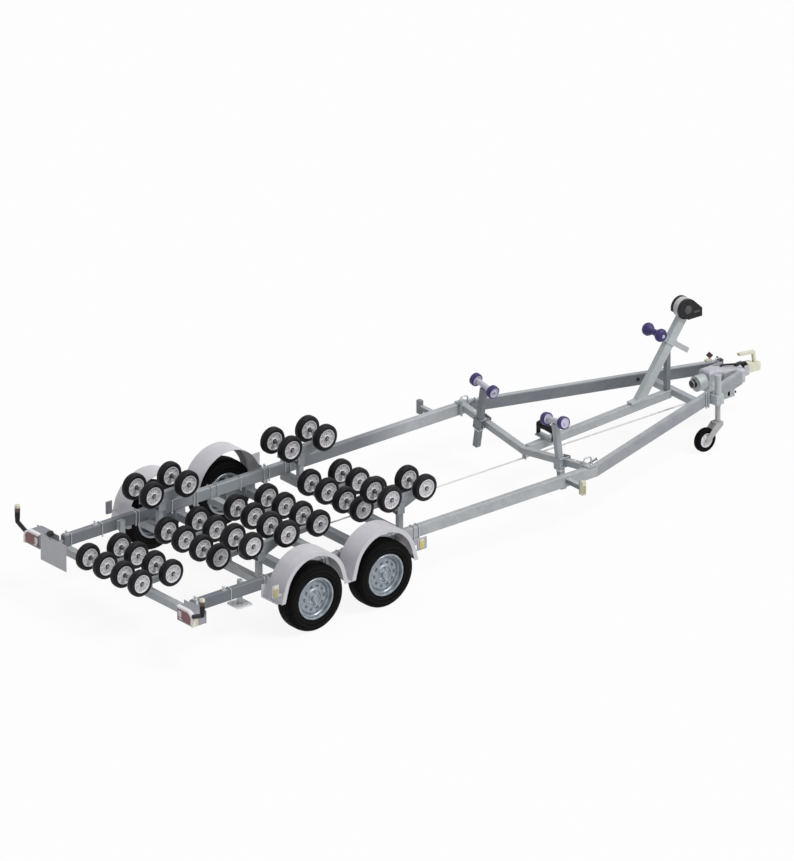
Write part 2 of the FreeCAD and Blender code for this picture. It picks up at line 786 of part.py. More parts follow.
def winch_post():
    """Leaning post on the centre beam with its strut and the bow-stop arm."""
    top = post_foot + post_direction * post_length
    low = centre_beam_top(post_foot_x)
    post = bar(post_foot - post_direction * 60, top, (0, 1, 0), post_width, post_depth)
    rear, front = post_foot_x - post_length, post_foot_x + post_length
    under = prism([(rear, -post_width, 0), (front, -post_width, 0),
                   (front, -post_width, centre_beam_top(front)), (rear, -post_width, centre_beam_top(rear))],
                  (0, 2 * post_width, 0))
    post = post.cut(under)
    foot_rear, foot_front = post_foot_x - 87, post_foot_x + 93
    shoe_outline = [(foot_rear, centre_beam_top(foot_rear)), (foot_front, centre_beam_top(foot_front)),
                    (foot_front, low + 34), (foot_rear, low + 14)]
    shoe = prism([(x, -post_width / 2 - 6, z) for x, z in shoe_outline], (0, post_width + 12, 0))
    strut_top = post_foot_z + (strut_x - post_foot_x) / math.tan(math.radians(post_lean))
    strut = block((strut_x - strut_size / 2, strut_x + strut_size / 2), (-strut_size / 2, strut_size / 2),
                  (centre_beam_top(strut_x) - 4, strut_top)).cut(under)
    arm = bar(arm_rear, arm_front, (0, 1, 0), stop_arm_size, stop_arm_size)
    clamp_half = stop_arm_size / 2 + 8
    clamp = bar(arm_crossing - arm_direction * (post_depth / 2 + 8),
                arm_crossing + arm_direction * (post_depth / 2 + 8), (0, 1, 0),
                post_width + 14, 2 * clamp_half)
    eye_radius = stop_pin_radius + 16
    eye = rod(eye_radius, (arm_rear.x, -stop_arm_size / 2, arm_rear.z),
              (arm_rear.x, stop_arm_size / 2, arm_rear.z))
    bore = rod(stop_pin_radius + running_clearance, (arm_rear.x, -stop_arm_size, arm_rear.z),
               (arm_rear.x, stop_arm_size, arm_rear.z))
    return joined(post, shoe, strut, arm, clamp, eye).cut(bore)


def bow_stop_roller():
    """Two rounded rollers on a pin through the end of the bow-stop arm."""
    half = stop_roller_length / 2
    start = stop_arm_size / 2 + side_clearance
    radius = stop_roller_radius
    lobe = [(0, start), (0.48 * radius, start), (0.78 * radius, stop_lobe_y - 38),
            (radius, stop_lobe_y - 14), (radius, stop_lobe_y + 8), (0.86 * radius, half - 10),
            (0.62 * radius, half), (0, half)]
    lobe_left = turned(lobe, arm_rear)
    pin = rod(stop_pin_radius, (arm_rear.x, -half - 4, arm_rear.z), (arm_rear.x, half + 4, arm_rear.z))
    return joined(pin, lobe_left, mirrored(lobe_left))


def winch():
    """Winch with two covers, round behind and tapering to a nose, and the drum between."""
    def body(radius, nose_height, nose_x, y_range):
        circle = rod(radius, (winch_x, y_range[0], winch_z), (winch_x, y_range[1], winch_z))
        reach = math.hypot(nose_x - winch_x, winch_nose_z - winch_z)
        slope = math.atan2(winch_nose_z - winch_z, nose_x - winch_x)
        up = slope + math.acos((radius - nose_height / 2) / reach)
        down = slope - math.acos((radius - nose_height / 2) / reach)
        outline = [(winch_x + radius * math.cos(up), winch_z + radius * math.sin(up)),
                   (nose_x, winch_nose_z + nose_height / 2), (nose_x, winch_nose_z - nose_height / 2),
                   (winch_x + radius * math.cos(down), winch_z + radius * math.sin(down))]
        wedge = prism([(x, y_range[0], z) for x, z in outline], (0, y_range[1] - y_range[0], 0))
        return circle.fuse(wedge)

    half = winch_width / 2
    left = body(winch_radius, winch_nose_height, winch_nose_x, (half - winch_cover, half))
    gap = half - winch_cover
    drum = body(winch_radius - winch_core_inset, winch_nose_height - 10, winch_nose_x - 6, (-gap, gap))
    seat = winch_middle - post_direction * winch_seat
    below = bar(seat - post_direction * winch_radius, seat, (0, 1, 0), 2 * winch_width, 6 * winch_radius)
    return joined(drum, left, mirrored(left)).cut(below)


# ================================================================ coupling
def coupling_housing():
    """Overrun housing between the drawbars with its shaft, flange plate and lever plates."""
    half_width = housing_width / 2
    body = prism([(x, -half_width, z) for x, z in (
        (housing_rear_x, housing_low_z), (housing_front_x, housing_low_z), (housing_front_x, housing_front_top_z),
        (housing_slope_x, housing_slope_top_z), (housing_step_x, housing_rear_top_z),
        (housing_rear_x, housing_rear_top_z))], (0, housing_width, 0))
    shaft = rod(shaft_radius, (shaft_rear_x, 0, shaft_z), (head_rear_x, 0, shaft_z))
    sleeve = rod(shaft_sleeve_radius, (shaft_sleeve_rear_x, 0, shaft_sleeve_z), (housing_rear_x, 0, shaft_sleeve_z))
    flange_outline = [(flange_plate_rear_x, drawbar_outer_y(flange_plate_rear_x)),
                      (flange_plate_front_x, drawbar_outer_y(flange_plate_front_x)),
                      (flange_plate_front_x, -drawbar_outer_y(flange_plate_front_x)),
                      (flange_plate_rear_x, -drawbar_outer_y(flange_plate_rear_x))]
    low_z = beam_bottom_z - flange_plate_thickness
    pieces = [body, shaft, sleeve, prism([(x, y, low_z) for x, y in flange_outline], (0, 0, flange_plate_thickness))]
    web_y = drawbar_inner_y(flange_plate_front_x) - 12
    for y in (-web_y, web_y - 10):
        pieces.append(block((flange_plate_rear_x, flange_plate_front_x), (y, y + 10),
                            (beam_bottom_z - 2, beam_top_z + 2)))
    for y in (-half_width, half_width - lever_plate_thickness):
        pieces.append(block((flange_plate_rear_x + 10, flange_plate_front_x), (y, y + lever_plate_thickness),
                            (lever_plate_low_z, shaft_z)))
    return joined(*pieces)


def coupling_head():
    """Coupling head with the ball socket below and its handle above."""
    half = head_width / 2
    nose = rod(half + 3, (ball_x, 0, ball_mouth_z), (ball_x, 0, head_top_z - 26))
    body = prism([(x, -half, z) for x, z in ((head_rear_x, shaft_z - 58), (ball_x, ball_mouth_z + 4),
                                             (ball_x, head_top_z - 26), (head_rear_x + 60, head_top_z),
                                             (head_rear_x, head_top_z))], (0, head_width, 0))
    handle_front_x = handle_rear_x + handle_length
    grip = bar((ball_x - handle_depth / 2, 0, head_top_z - half), (handle_front_x - handle_depth / 2, 0, handle_z),
               (0, 1, 0), 0.9 * handle_width, handle_depth)
    lever = bar((handle_front_x, 0, handle_z - handle_rise / 4), (handle_rear_x, 0, handle_z + 0.75 * handle_rise),
                (0, 1, 0), handle_width, handle_depth)
    socket = rod(ball_radius, (ball_x, 0, ball_mouth_z - 5), (ball_x, 0, ball_mouth_z + 22))
    dome = Part.makeSphere(ball_radius, Vector(ball_x, 0, ball_mouth_z + 22))
    return joined(body, nose, grip, lever).cut(socket.fuse(dome))


def bellows():
    """Rubber bellows over the shaft between the housing and the head."""
    crest = bellows_radius
    trough = bellows_radius - 8
    bore = shaft_radius + seat_clearance
    folds = 5
    length = head_rear_x - seat_clearance - bellows_rear_x
    profile = [(bore, 0)]
    for i in range(folds):
        profile += [(trough, length * i / folds), (crest, length * (i + 0.5) / folds)]
    profile += [(trough, length), (bore, length)]
    points = [Vector(bellows_rear_x + along, 0, shaft_z + radius) for radius, along in profile]
    face = Part.Face(Part.makePolygon(points + points[:1]))
    return face.revolve(Vector(bellows_rear_x, 0, shaft_z), Vector(1, 0, 0), 360)


# ================================================================ jockey wheel
def jockey_clamp():
    """Clamp on the right drawbar's outer face with the jockey wheel's outer sleeve."""
    sleeve = pipe(jockey_sleeve_radius, jockey_tube_radius + running_clearance,
                  (jockey_x, jockey_y, jockey_sleeve_low_z), (jockey_x, jockey_y, jockey_sleeve_top_z))
    middle_z = (beam_top_z + beam_bottom_z) / 2
    outer_y = jockey_y - jockey_sleeve_radius - 8
    outline = [(jockey_x - 60, -drawbar_outer_y(jockey_x - 60)),
               (jockey_x + 60, -drawbar_outer_y(jockey_x + 60)),
               (jockey_x + 42, outer_y), (jockey_x - 42, outer_y)]
    clamp = prism([(x, y, middle_z - 45) for x, y in outline], (0, 0, 90))
    hole = rod(jockey_tube_radius + running_clearance, (jockey_x, jockey_y, middle_z - 60),
               (jockey_x, jockey_y, middle_z + 60))
    return joined(sleeve, clamp.cut(hole))


def jockey_tube():
    """Inner tube of the jockey wheel, capped above, with a collar for the fork's pivot."""
    cap_z = jockey_sleeve_top_z + seat_clearance
    tube = rod(jockey_tube_radius, (jockey_x, jockey_y, jockey_tube_low_z), (jockey_x, jockey_y, cap_z))
    cap = rod(jockey_sleeve_radius + 3, (jockey_x, jockey_y, cap_z),
              (jockey_x, jockey_y, cap_z + jockey_cap_height))
    pin = rod(stop_pin_radius, (jockey_x, jockey_y, jockey_tube_low_z - 26),
              (jockey_x, jockey_y, jockey_tube_low_z))
    return joined(tube, cap, pin)


def jockey_fork():
    """Fork that swivels under the tube and trails the wheel behind it."""
    crown_top = jockey_tube_low_z - seat_clearance
    crown_low = crown_top - 20
    inner = jockey_width / 2 + 5
    outer = inner + fork_thickness
    wheel_x = jockey_x - jockey_trail
    crown = block((jockey_x - 46, jockey_x + 32), (jockey_y - outer, jockey_y + outer), (crown_low, crown_top))
    pieces = [crown]
    for near, far in ((jockey_y - outer, jockey_y - inner), (jockey_y + inner, jockey_y + outer)):
        outline = [(jockey_x + 32, crown_top), (jockey_x - 46, crown_top), (wheel_x - 20, jockey_radius + 14),
                   (wheel_x - 20, jockey_radius - 20), (wheel_x + 22, jockey_radius - 20),
                   (jockey_x + 32, crown_low - 14)]
        pieces.append(prism([(x, near, z) for x, z in outline], (0, far - near, 0)))
    pieces.append(rod(stop_pin_radius, (wheel_x, jockey_y - outer - 5, jockey_radius),
                      (wheel_x, jockey_y + outer + 5, jockey_radius)))
    bore = rod(stop_pin_radius + running_clearance, (jockey_x, jockey_y, crown_low - 10),
               (jockey_x, jockey_y, crown_top + 5))
    return joined(*pieces).cut(bore)


def jockey_wheel():
    """Rubber-tyred jockey wheel."""
    half = jockey_width / 2
    bore = stop_pin_radius + running_clearance
    profile = [(bore, -half + 2), (30, -half + 2), (34, -half + 16), (0.6 * jockey_radius, -half + 16),
               (0.64 * jockey_radius, -half + 4), (0.8 * jockey_radius, -half),
               (0.95 * jockey_radius, -half + 6), (jockey_radius, -half + 17)]
    profile += [(radius, -side) for radius, side in reversed(profile)]
    return turned(profile, (jockey_x - jockey_trail, jockey_y, jockey_radius))


# ================================================================ support legs
def leg_sleeve():
    """Sleeve of the left support leg on the beam's inner face."""
    sleeve = pipe(leg_sleeve_radius, leg_radius + running_clearance,
                  (leg_x, leg_y, leg_sleeve_low_z), (leg_x, leg_y, beam_top_z))
    lug = block((leg_x - 30, leg_x + 30), (leg_y + leg_radius + 3, beam_inner_y),
                (beam_bottom_z + 12, beam_top_z - 12))
    return joined(sleeve, lug)


def support_leg():
    """Left support leg: round tube with a square foot plate, held up."""
    tube = rod(leg_radius, (leg_x, leg_y, leg_foot_z), (leg_x, leg_y, beam_top_z - 8))
    foot = centred((leg_x, leg_y, leg_foot_z + leg_foot_thickness / 2),
                   (leg_foot_side, leg_foot_side, leg_foot_thickness))
    corners = [edge for edge in foot.Edges if edge.BoundBox.ZLength > leg_foot_thickness / 2]
    return joined(tube, foot.makeFillet(leg_foot_corner, corners))


# ================================================================ lights
def lamp_carrier():
    """Left lamp board on its arm from the beam's rear end."""
    front_x = lamp_x + lamp_depth / 2
    board = block((front_x, front_x + sheet_thickness), (lamp_board_inner_y, lamp_outer_y),
                  (lamp_low_z, lamp_top_z - 20))
    middle_z = (beam_top_z + beam_bottom_z) / 2
    half = lamp_arm_size / 2
    arm = block((front_x, beam_rear_x), (beam_middle_y - half, beam_middle_y + half),
                (middle_z - half, middle_z + half))
    return joined(board, arm)


def number_plate():
    """Blank plate beside the left lamp, on a stay from the lamp board."""
    plate = block((plate_x, plate_x + sheet_thickness), (plate_inner_y, plate_outer_y),
                  (plate_low_z, plate_top_z))
    half = plate_stay_size / 2
    middle_z = (beam_top_z + beam_bottom_z) / 2
    stay = block((plate_x, lamp_x + lamp_depth / 2), (plate_stay_y - half, plate_stay_y + half),
                 (middle_z - half, middle_z + half))
    return joined(plate, stay)


def rear_lamp():
    """Left rear lamp: block with a rounded top outer corner."""
    x = lamp_x - lamp_depth / 2
    round_y = lamp_outer_y - lamp_corner_radius
    round_z = lamp_top_z - lamp_corner_radius
    slant = lamp_corner_radius * math.sqrt(0.5)
    places = [(round_y, lamp_top_z), (lamp_inner_y, lamp_top_z), (lamp_inner_y, lamp_low_z),
              (lamp_outer_y, lamp_low_z), (lamp_outer_y, round_z)]
    corners = [Vector(x, y, z) for y, z in places]
    edges = [Part.makeLine(start, end) for start, end in zip(corners, corners[1:])]
    edges.append(Part.Arc(corners[-1], Vector(x, round_y + slant, round_z + slant), corners[0]).toShape())
    return Part.Face(Part.Wire(edges)).extrude(Vector(lamp_depth, 0, 0))


def marker_arm():
    """Left flexible marker arm with its lens block, on the lamp's outer corner."""
    x = marker_arm_x
    lens_low = marker_arm_top_z - marker_lens_height
    stalk = rod(marker_arm_radius, (x, lamp_outer_y - lamp_corner_radius / 2, marker_stalk_z),
                (x, marker_arm_y, marker_arm_low_z + marker_lens_size)).cut(rear_lamp())
    upright = rod(marker_arm_radius, (x, marker_arm_y, marker_arm_low_z + marker_lens_size - marker_arm_radius),
                  (x, marker_arm_y, lens_low + marker_arm_radius))
    lens = centred((x, marker_arm_y, (lens_low + marker_arm_top_z) / 2),
                   (marker_lens_size, marker_lens_size, marker_lens_height))
    return joined(stalk, upright, lens)


def front_marker():
    """Left front marker on its short arm from the beam's outer face."""
    arm = centred((front_marker_x, (beam_outer_y + front_marker_y) / 2, front_marker_z),
                  (front_marker_arm_width, front_marker_y - beam_outer_y, front_marker_arm_thickness))
    lens = centred((front_marker_x, front_marker_y, front_marker_z),
                   (front_marker_depth, front_marker_width, front_marker_height))
    return joined(arm, lens)


# ================================================================ assembly
def stations_with(place):
    """The stations that carry a cradle or a wing."""
    return [station for station in STATIONS if station[place] is not None]


def assemble():
    """Every node by name, each a list of its solids."""
    nodes = {}
    nodes["main_beam_left"] = [main_beam()]
    nodes["main_beam_right"] = [mirrored(main_beam())]
    nodes["cross_tubes"] = [cross_tube(station["tube_x"]) for station in STATIONS]
    nodes["cross_tubes"] += [bow_cross_tube(), front_cross_tube()]
    nodes["centre_beam"] = [centre_beam(), brake_rod()]
    nodes["axles"] = [axle(0.0), axle(axle_spacing)]
    for end, wheel_x in (("rear", 0.0), ("front", axle_spacing)):
        for side_name, side in (("left", 1), ("right", -1)):
            nodes[f"tyre_{end}_{side_name}"] = [tyre(wheel_x, side * wheel_y)]
            nodes[f"rim_{end}_{side_name}"] = [rim(wheel_x, side)]
    stands = []
    for station in stations_with("cradle_x"):
        x, name = station["cradle_x"], station["name"]
        places = (-roller_pitch, roller_pitch)
        nodes[f"cradle_{name}_rocker"] = [rocker(x, y, cradle_axle_z, row_offset, CRADLE_ROCKER)
                                          for y in places]
        for row, shift in (("rear", -row_offset), ("front", row_offset)):
            nodes[f"cradle_{name}_rollers_{row}"] = roller_row(x + shift, cradle_axle_z, places, roller_pitch)
        stands += [pivot_stand(station["tube_x"], x, y, cradle_axle_z, CRADLE_ROCKER) for y in places]
    for station in stations_with("wing_x"):
        x = station["wing_x"]
        for side_name, side in (("left", 1), ("right", -1)):
            name = f"wing_{station['name']}_{side_name}"
            y = side * wing_y
            nodes[f"{name}_rocker"] = [rocker(x, y, wing_axle_z, wing_row_offset, WING_ROCKER)]
            for row, shift in (("rear", -wing_row_offset), ("front", wing_row_offset)):
                nodes[f"{name}_rollers_{row}"] = roller_row(x + shift, wing_axle_z, (y,), wing_roller_pitch)
            stands.append(wing_stand(station["tube_x"], x, y))
    nodes["roller_stands"] = stands + [keel_roller_bracket()]
    nodes["mudguard_left"] = [mudguard()]
    nodes["mudguard_right"] = [mirrored(mudguard())]
    nodes["bow_posts"] = both_sides([bow_post()])
    nodes["bow_rollers_left"] = bow_rollers()
    nodes["bow_rollers_right"] = [mirrored(piece) for piece in bow_rollers()]
    nodes["keel_roller"] = [keel_roller()]
    nodes["winch_post"] = [winch_post()]
    nodes["bow_stop_roller"] = [bow_stop_roller()]
    nodes["winch"] = [winch()]
    nodes["coupling_housing"] = [coupling_housing()]
    nodes["coupling_head"] = [coupling_head()]
    nodes["coupling_bellows"] = [bellows()]
    nodes["stand_sleeves"] = [jockey_clamp()] + both_sides([leg_sleeve()])
    nodes["jockey_tube"] = [jockey_tube()]
    nodes["jockey_fork"] = [jockey_fork()]
    nodes["jockey_wheel"] = [jockey_wheel()]
    nodes["support_leg_left"] = [support_leg()]
    nodes["support_leg_right"] = [mirrored(support_leg())]
    nodes["lamp_carriers"] = both_sides([lamp_carrier(), front_marker()]) + [number_plate()]
    nodes["rear_lamps"] = both_sides([rear_lamp()])
    nodes["marker_arms"] = both_sides([marker_arm()])
    return nodes


if __name__ == "__main__":
    os.makedirs("parts", exist_ok=True)
    for node, solids in assemble().items():
        shape = solids[0] if len(solids) == 1 else Part.makeCompound(solids)
        shape.translate(Vector(-middle_x, 0, 0))
        shape.exportStep(f"parts/{node}.step")
        print(node, len(solids), "solids", round(shape.Volume / 1e6, 2), "litres", shape.isValid())
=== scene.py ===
"""Dresses the boat trailer.

Blender works in metres. The shapes here are written in millimetres, with x measured forward from the
rear wheels' centre, y to the left and z up from the ground. Pieces that come in pairs are made in a loop
over side, which is 1 on the left and -1 on the right.
"""
import json
import math
import bpy
import bmesh
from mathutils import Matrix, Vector


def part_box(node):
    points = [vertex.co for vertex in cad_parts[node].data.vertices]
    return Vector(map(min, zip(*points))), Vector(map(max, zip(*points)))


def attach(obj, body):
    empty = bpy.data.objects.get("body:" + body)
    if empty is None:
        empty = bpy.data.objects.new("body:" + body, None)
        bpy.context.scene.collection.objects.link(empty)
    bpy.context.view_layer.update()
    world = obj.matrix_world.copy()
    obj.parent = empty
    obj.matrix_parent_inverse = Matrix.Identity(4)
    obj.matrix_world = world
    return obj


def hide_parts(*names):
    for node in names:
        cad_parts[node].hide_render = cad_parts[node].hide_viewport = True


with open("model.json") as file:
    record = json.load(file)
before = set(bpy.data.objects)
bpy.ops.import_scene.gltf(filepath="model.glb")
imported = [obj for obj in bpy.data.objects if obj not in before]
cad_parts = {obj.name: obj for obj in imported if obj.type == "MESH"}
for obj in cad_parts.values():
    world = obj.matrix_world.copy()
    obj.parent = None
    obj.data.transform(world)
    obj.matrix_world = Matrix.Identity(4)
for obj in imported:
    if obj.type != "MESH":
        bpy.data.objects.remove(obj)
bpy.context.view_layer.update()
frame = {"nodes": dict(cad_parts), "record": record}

MM = 0.001
UP = (0, 0, 1)
SQUARE = ((-1, -1), (1, -1), (1, 1), (-1, 1))     # the corners of a square, in order
low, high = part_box("tyre_rear_left")
rear_wheel_x = (low.x + high.x) / 2
ORIGIN = Vector((rear_wheel_x, 0, 0))


def extent(node):
    """A node's lowest and highest corners in millimetres, x from the rear wheels' centre."""
    low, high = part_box(node)
    return (low - ORIGIN) / MM, (high - ORIGIN) / MM


def middle_of(node):
    """The middle of a node's box, in metres."""
    low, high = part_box(node)
    return (low + high) / 2


def about(middle, half):
    """The range that reaches half to each side of a middle."""
    return middle - half, middle + half


def sided(side, *places):
    """Places across the trailer, on the given side."""
    return tuple(side * place for place in places)


# ================ camera and studio
def put_camera():
    """A distant camera with a very long lens, behind and above the right rear corner."""
    azimuth, elevation = math.radians(-39.3129), math.radians(24.1303)
    look_at = ORIGIN + Vector((1.90884, 0.0, 0.97383))
    distance = 274.868
    towards = Vector((math.sin(azimuth) * math.cos(elevation), -math.cos(azimuth) * math.cos(elevation),
                      math.sin(elevation)))
    data = bpy.data.cameras.new("camera")
    data.lens = 1300.0
    data.sensor_width = 36.0
    data.clip_start = 1.0
    data.clip_end = 600.0
    camera = bpy.data.objects.new("camera", data)
    camera.location = look_at + towards * distance
    camera.rotation_euler = (-towards).to_track_quat("-Z", "Y").to_euler()
    bpy.context.scene.collection.objects.link(camera)
    bpy.context.scene.camera = camera


def feed(tree, node, inputs):
    """Sets a shader node's inputs, each to a value or from another node's output."""
    for key, value in inputs.items():
        if isinstance(value, bpy.types.NodeSocket):
            tree.links.new(value, node.inputs[key])
        else:
            node.inputs[key].default_value = value
    return node


def add_node(tree, kind, inputs, **settings):
    node = tree.nodes.new(kind)
    for name, value in settings.items():
        setattr(node, name, value)
    return feed(tree, node, inputs)


def seen_directly(tree):
    """1 for camera, glossy and transmission rays, 0 for the rays that light the object."""
    path = add_node(tree, "ShaderNodeLightPath", {})
    seen = path.outputs["Is Camera Ray"]
    for kind in ("Is Glossy Ray", "Is Transmission Ray"):
        either = {0: seen, 1: path.outputs[kind]}
        seen = add_node(tree, "ShaderNodeMath", either, operation="MAXIMUM").outputs[0]
    return seen


def put_world(strength):
    """White to the camera and in reflections, a cooler and weaker light on the object."""
    world = bpy.data.worlds.new("studio")
    world.use_nodes = True
    tree = world.node_tree
    ambient = feed(tree, tree.nodes["Background"], {"Color": (0.93, 0.96, 1.0, 1), "Strength": strength})
    white = add_node(tree, "ShaderNodeBackground", {"Color": (1, 1, 1, 1)})
    mix = add_node(tree, "ShaderNodeMixShader",
                   {0: seen_directly(tree), 1: ambient.outputs[0], 2: white.outputs[0]})
    feed(tree, tree.nodes["World Output"], {"Surface": mix.outputs[0]})
    bpy.context.scene.world = world


def put_sun(name, towards, strength, softness):
    data = bpy.data.lights.new(name, "SUN")
    data.energy = strength
    data.angle = softness
    sun = bpy.data.objects.new(name, data)
    sun.rotation_euler = Vector(towards).to_track_quat("Z", "Y").to_euler()
    bpy.context.scene.collection.objects.link(sun)


def put_floor(size, shadow_depth):
    """White paper under the wheels that takes a faint shadow."""
    mesh = bpy.data.meshes.new("floor")
    mesh.from_pydata([(x * size, y * size, -MM) for x, y in SQUARE], [], [(0, 1, 2, 3)])
    material = bpy.data.materials.new("floor")
    material.use_nodes = True
    tree = material.node_tree
    tree.nodes.remove(tree.nodes["Principled BSDF"])
    paper = add_node(tree, "ShaderNodeBsdfDiffuse", {"Color": (0.9, 0.9, 0.9, 1)})
    glow = add_node(tree, "ShaderNodeEmission", {"Color": (1, 1, 1, 1)})
    share = add_node(tree, "ShaderNodeMath", {0: seen_directly(tree), 1: 1 - shadow_depth},
                     operation="MULTIPLY")
    mix = add_node(tree, "ShaderNodeMixShader", {0: share.outputs[0], 1: paper.outputs[0], 2: glow.outputs[0]})
    feed(tree, tree.nodes["Material Output"], {"Surface": mix.outputs[0]})
    floor = bpy.data.objects.new("floor", mesh)
    floor.data.materials.append(material)
    bpy.context.scene.collection.objects.link(floor)


# ================ materials
UNEVEN = 0.12          # how far the roughness wanders to each side
FLAKE_SHARE = 0.45     # how much of the colour follows the zinc's flakes
DIRT_SCALE = 2.7       # size of the dirt's patches against the mottle's
ROUGH_SCALE = 0.6      # size of the roughness patches against the mottle's
GRAIN_DEPTH = 0.4


def surface(name, colour, roughness=0.5, metallic=0.0, mottle=0.12, mottle_size=30.0, grain=0.15,
            grain_size=2.0, spangle=0.0, spangle_size=14.0, dirt=None, dirt_amount=0.0, coat=0.0,
            specular=0.5, fades=()):
    """Procedural finish: mottled colour, uneven roughness and a fine grain, with sizes in millimetres.

    Each fade is painted light or shade: (start, end, shade, amount), the amount of the shade that is mixed in
    behind start, down to none at end, both in metres along X. Later fades lie over earlier ones.
    """
    material = bpy.data.materials.new(name)
    material.use_nodes = True
    tree = material.node_tree
    place = add_node(tree, "ShaderNodeTexCoord", {}).outputs["Object"]

    def noise(size, detail, rough=0.55):
        node = add_node(tree, "ShaderNodeTexNoise", {"Scale": 1 / (size * MM), "Detail": detail,
                                                     "Roughness": rough, "Vector": place})
        return node.outputs["Fac"]

    def spread(source, low, high, edge=0.28):
        node = add_node(tree, "ShaderNodeMapRange", {"From Min": edge, "From Max": 1 - edge, "To Min": low,
                                                     "To Max": high, "Value": source})
        return node.outputs["Result"]

    def mixed(factor, first, second):
        first, second = ((*end, 1) if isinstance(end, tuple) else end for end in (first, second))
        node = add_node(tree, "ShaderNodeMix", {"Factor": factor, "A": first, "B": second}, data_type="RGBA")
        return node.outputs["Result"]

    def tones(contrast):
        return tuple(c * (1 - contrast) for c in colour), tuple(min(1, c * (1 + contrast)) for c in colour)

    tint = mixed(spread(noise(mottle_size, 4), 0, 1), *tones(mottle))
    if spangle:
        cells = add_node(tree, "ShaderNodeTexVoronoi", {"Scale": 1 / (spangle_size * MM), "Vector": place})
        single = add_node(tree, "ShaderNodeSeparateColor", {"Color": cells.outputs["Color"]})
        tint = mixed(FLAKE_SHARE, tint, mixed(single.outputs["Red"], *tones(spangle)))
    if dirt:
        tint = mixed(spread(noise(mottle_size * DIRT_SCALE, 5, 0.65), 0, dirt_amount, 0.42), tint, dirt)
    for start, end, shade, amount in fades:
        along = add_node(tree, "ShaderNodeSeparateXYZ", {"Vector": place})
        share = add_node(tree, "ShaderNodeMapRange", {"From Min": start, "From Max": end, "To Min": amount,
                                                      "To Max": 0.0, "Value": along.outputs["X"]})
        tint = mixed(share.outputs["Result"], tint, shade)
    rough = spread(noise(mottle_size * ROUGH_SCALE, 3), max(0.05, roughness - UNEVEN),
                   min(1, roughness + UNEVEN))
    bump = add_node(tree, "ShaderNodeBump", {"Strength": grain, "Distance": GRAIN_DEPTH * MM,
                                             "Height": noise(grain_size, 2)})
    feed(tree, tree.nodes["Principled BSDF"], {
        "Metallic": metallic, "Coat Weight": coat, "Specular IOR Level": specular, "Base Color": tint,
        "Roughness": rough, "Normal": bump.outputs["Normal"]})
    return material


def zinc(name, colour, dirt=None, **more):
    """A tone of hot-dip galvanised steel; the darker and lighter tones of some parts are painted shade and
    painted light.
    """
    look = {"mottle_size": 90, "spangle": 0.12, "dirt": dirt, "dirt_amount": 0.4, **more}
    return surface(name, colour, 0.5, 0.15, **look)


# Painted shade for the far beam's rear part.
FAR_PAINTED_SHADE = (0.185, 0.20, 0.22)
galvanised = zinc("galvanised", (0.36, 0.385, 0.41), (0.47, 0.49, 0.48))
# The near beam's zinc darkens towards its rear as painted shade, where the mudguard shades it; the leg tubes
# share this material.
beam_zinc_painted_shade = zinc("beam_zinc_painted_shade", (0.36, 0.38, 0.40), (0.50, 0.52, 0.51),
                 fades=[(-3.3, -0.9, (0.12, 0.135, 0.155), 0.95)])
# The far beam's zinc is painted light and shade: a lighter tone at its front, then fades of painted shade over
# its rear part with a painted lighter stretch between them.
far_zinc_painted_light_and_shade = zinc("far_zinc_painted_light_and_shade", (0.42, 0.44, 0.465), (0.49, 0.51, 0.51),
                fades=[(-0.15, 0.45, FAR_PAINTED_SHADE, 1.0), (-1.0, -0.75, (0.325, 0.35, 0.37), 1.0),
                       (-2.2, -2.0, FAR_PAINTED_SHADE, 1.0)])
# Drawbars: darker copies of the zinc as painted shade, the far one darker than the near one.
far_bar_painted_shade = zinc("far_bar_painted_shade", (0.175, 0.188, 0.21), (0.24, 0.25, 0.26))
near_bar_painted_shade = zinc("near_bar_painted_shade", (0.275, 0.288, 0.315), (0.36, 0.375, 0.38))
post_zinc = zinc("post_zinc", (0.44, 0.475, 0.49), (0.54, 0.56, 0.55), mottle=0.1, spangle=0.1)
# Painted shade for the far bow post and the lower ends of both posts.
post_painted_shade = zinc("post_painted_shade", (0.215, 0.228, 0.243), mottle_size=60, spangle=0.1)
strut_zinc = zinc("strut_zinc", (0.19, 0.21, 0.225), mottle=0.1, mottle_size=60, spangle=0.0)
# Near-white foot plates: painted light against the shadow of the beam above them.
foot_painted_light = surface("foot_painted_light", (0.80, 0.815, 0.83), 0.5, 0.12, mottle_size=70, spangle=0.1)
pale_axle = surface("pale_axle", (0.55, 0.54, 0.61), 0.45, 0.1, mottle=0.08, mottle_size=40)
pale_rod = surface("pale_rod", (0.66, 0.66, 0.67), 0.45, 0.2, mottle=0.08, mottle_size=60)
dull_steel = surface("dull_steel", (0.26, 0.28, 0.30), 0.55, 0.2, mottle=0.15, mottle_size=40, spangle=0.1)
zinc_bolt = surface("zinc_bolt", (0.55, 0.57, 0.58), 0.35, 0.5, mottle=0.1, mottle_size=8, grain_size=1)
guard_paint = surface("guard_paint", (0.60, 0.595, 0.625), 0.45, 0.1, mottle=0.06, mottle_size=140,
                      dirt=(0.52, 0.50, 0.54), dirt_amount=0.3)
# Wheel rims: steel paint whose large bright and dark blotches are painted reflection.
rim_paint_and_painted_reflection = surface("rim_paint_and_painted_reflection", (0.30, 0.335, 0.37), 0.32, 0.45, mottle=0.42, mottle_size=46, spangle=0.3,
                    spangle_size=22, coat=0.15)
# Painted glint for the two lower wheel nuts.
rim_bright = surface("rim_bright", (0.50, 0.54, 0.60), 0.3, 0.4, mottle=0.15, coat=0.2)
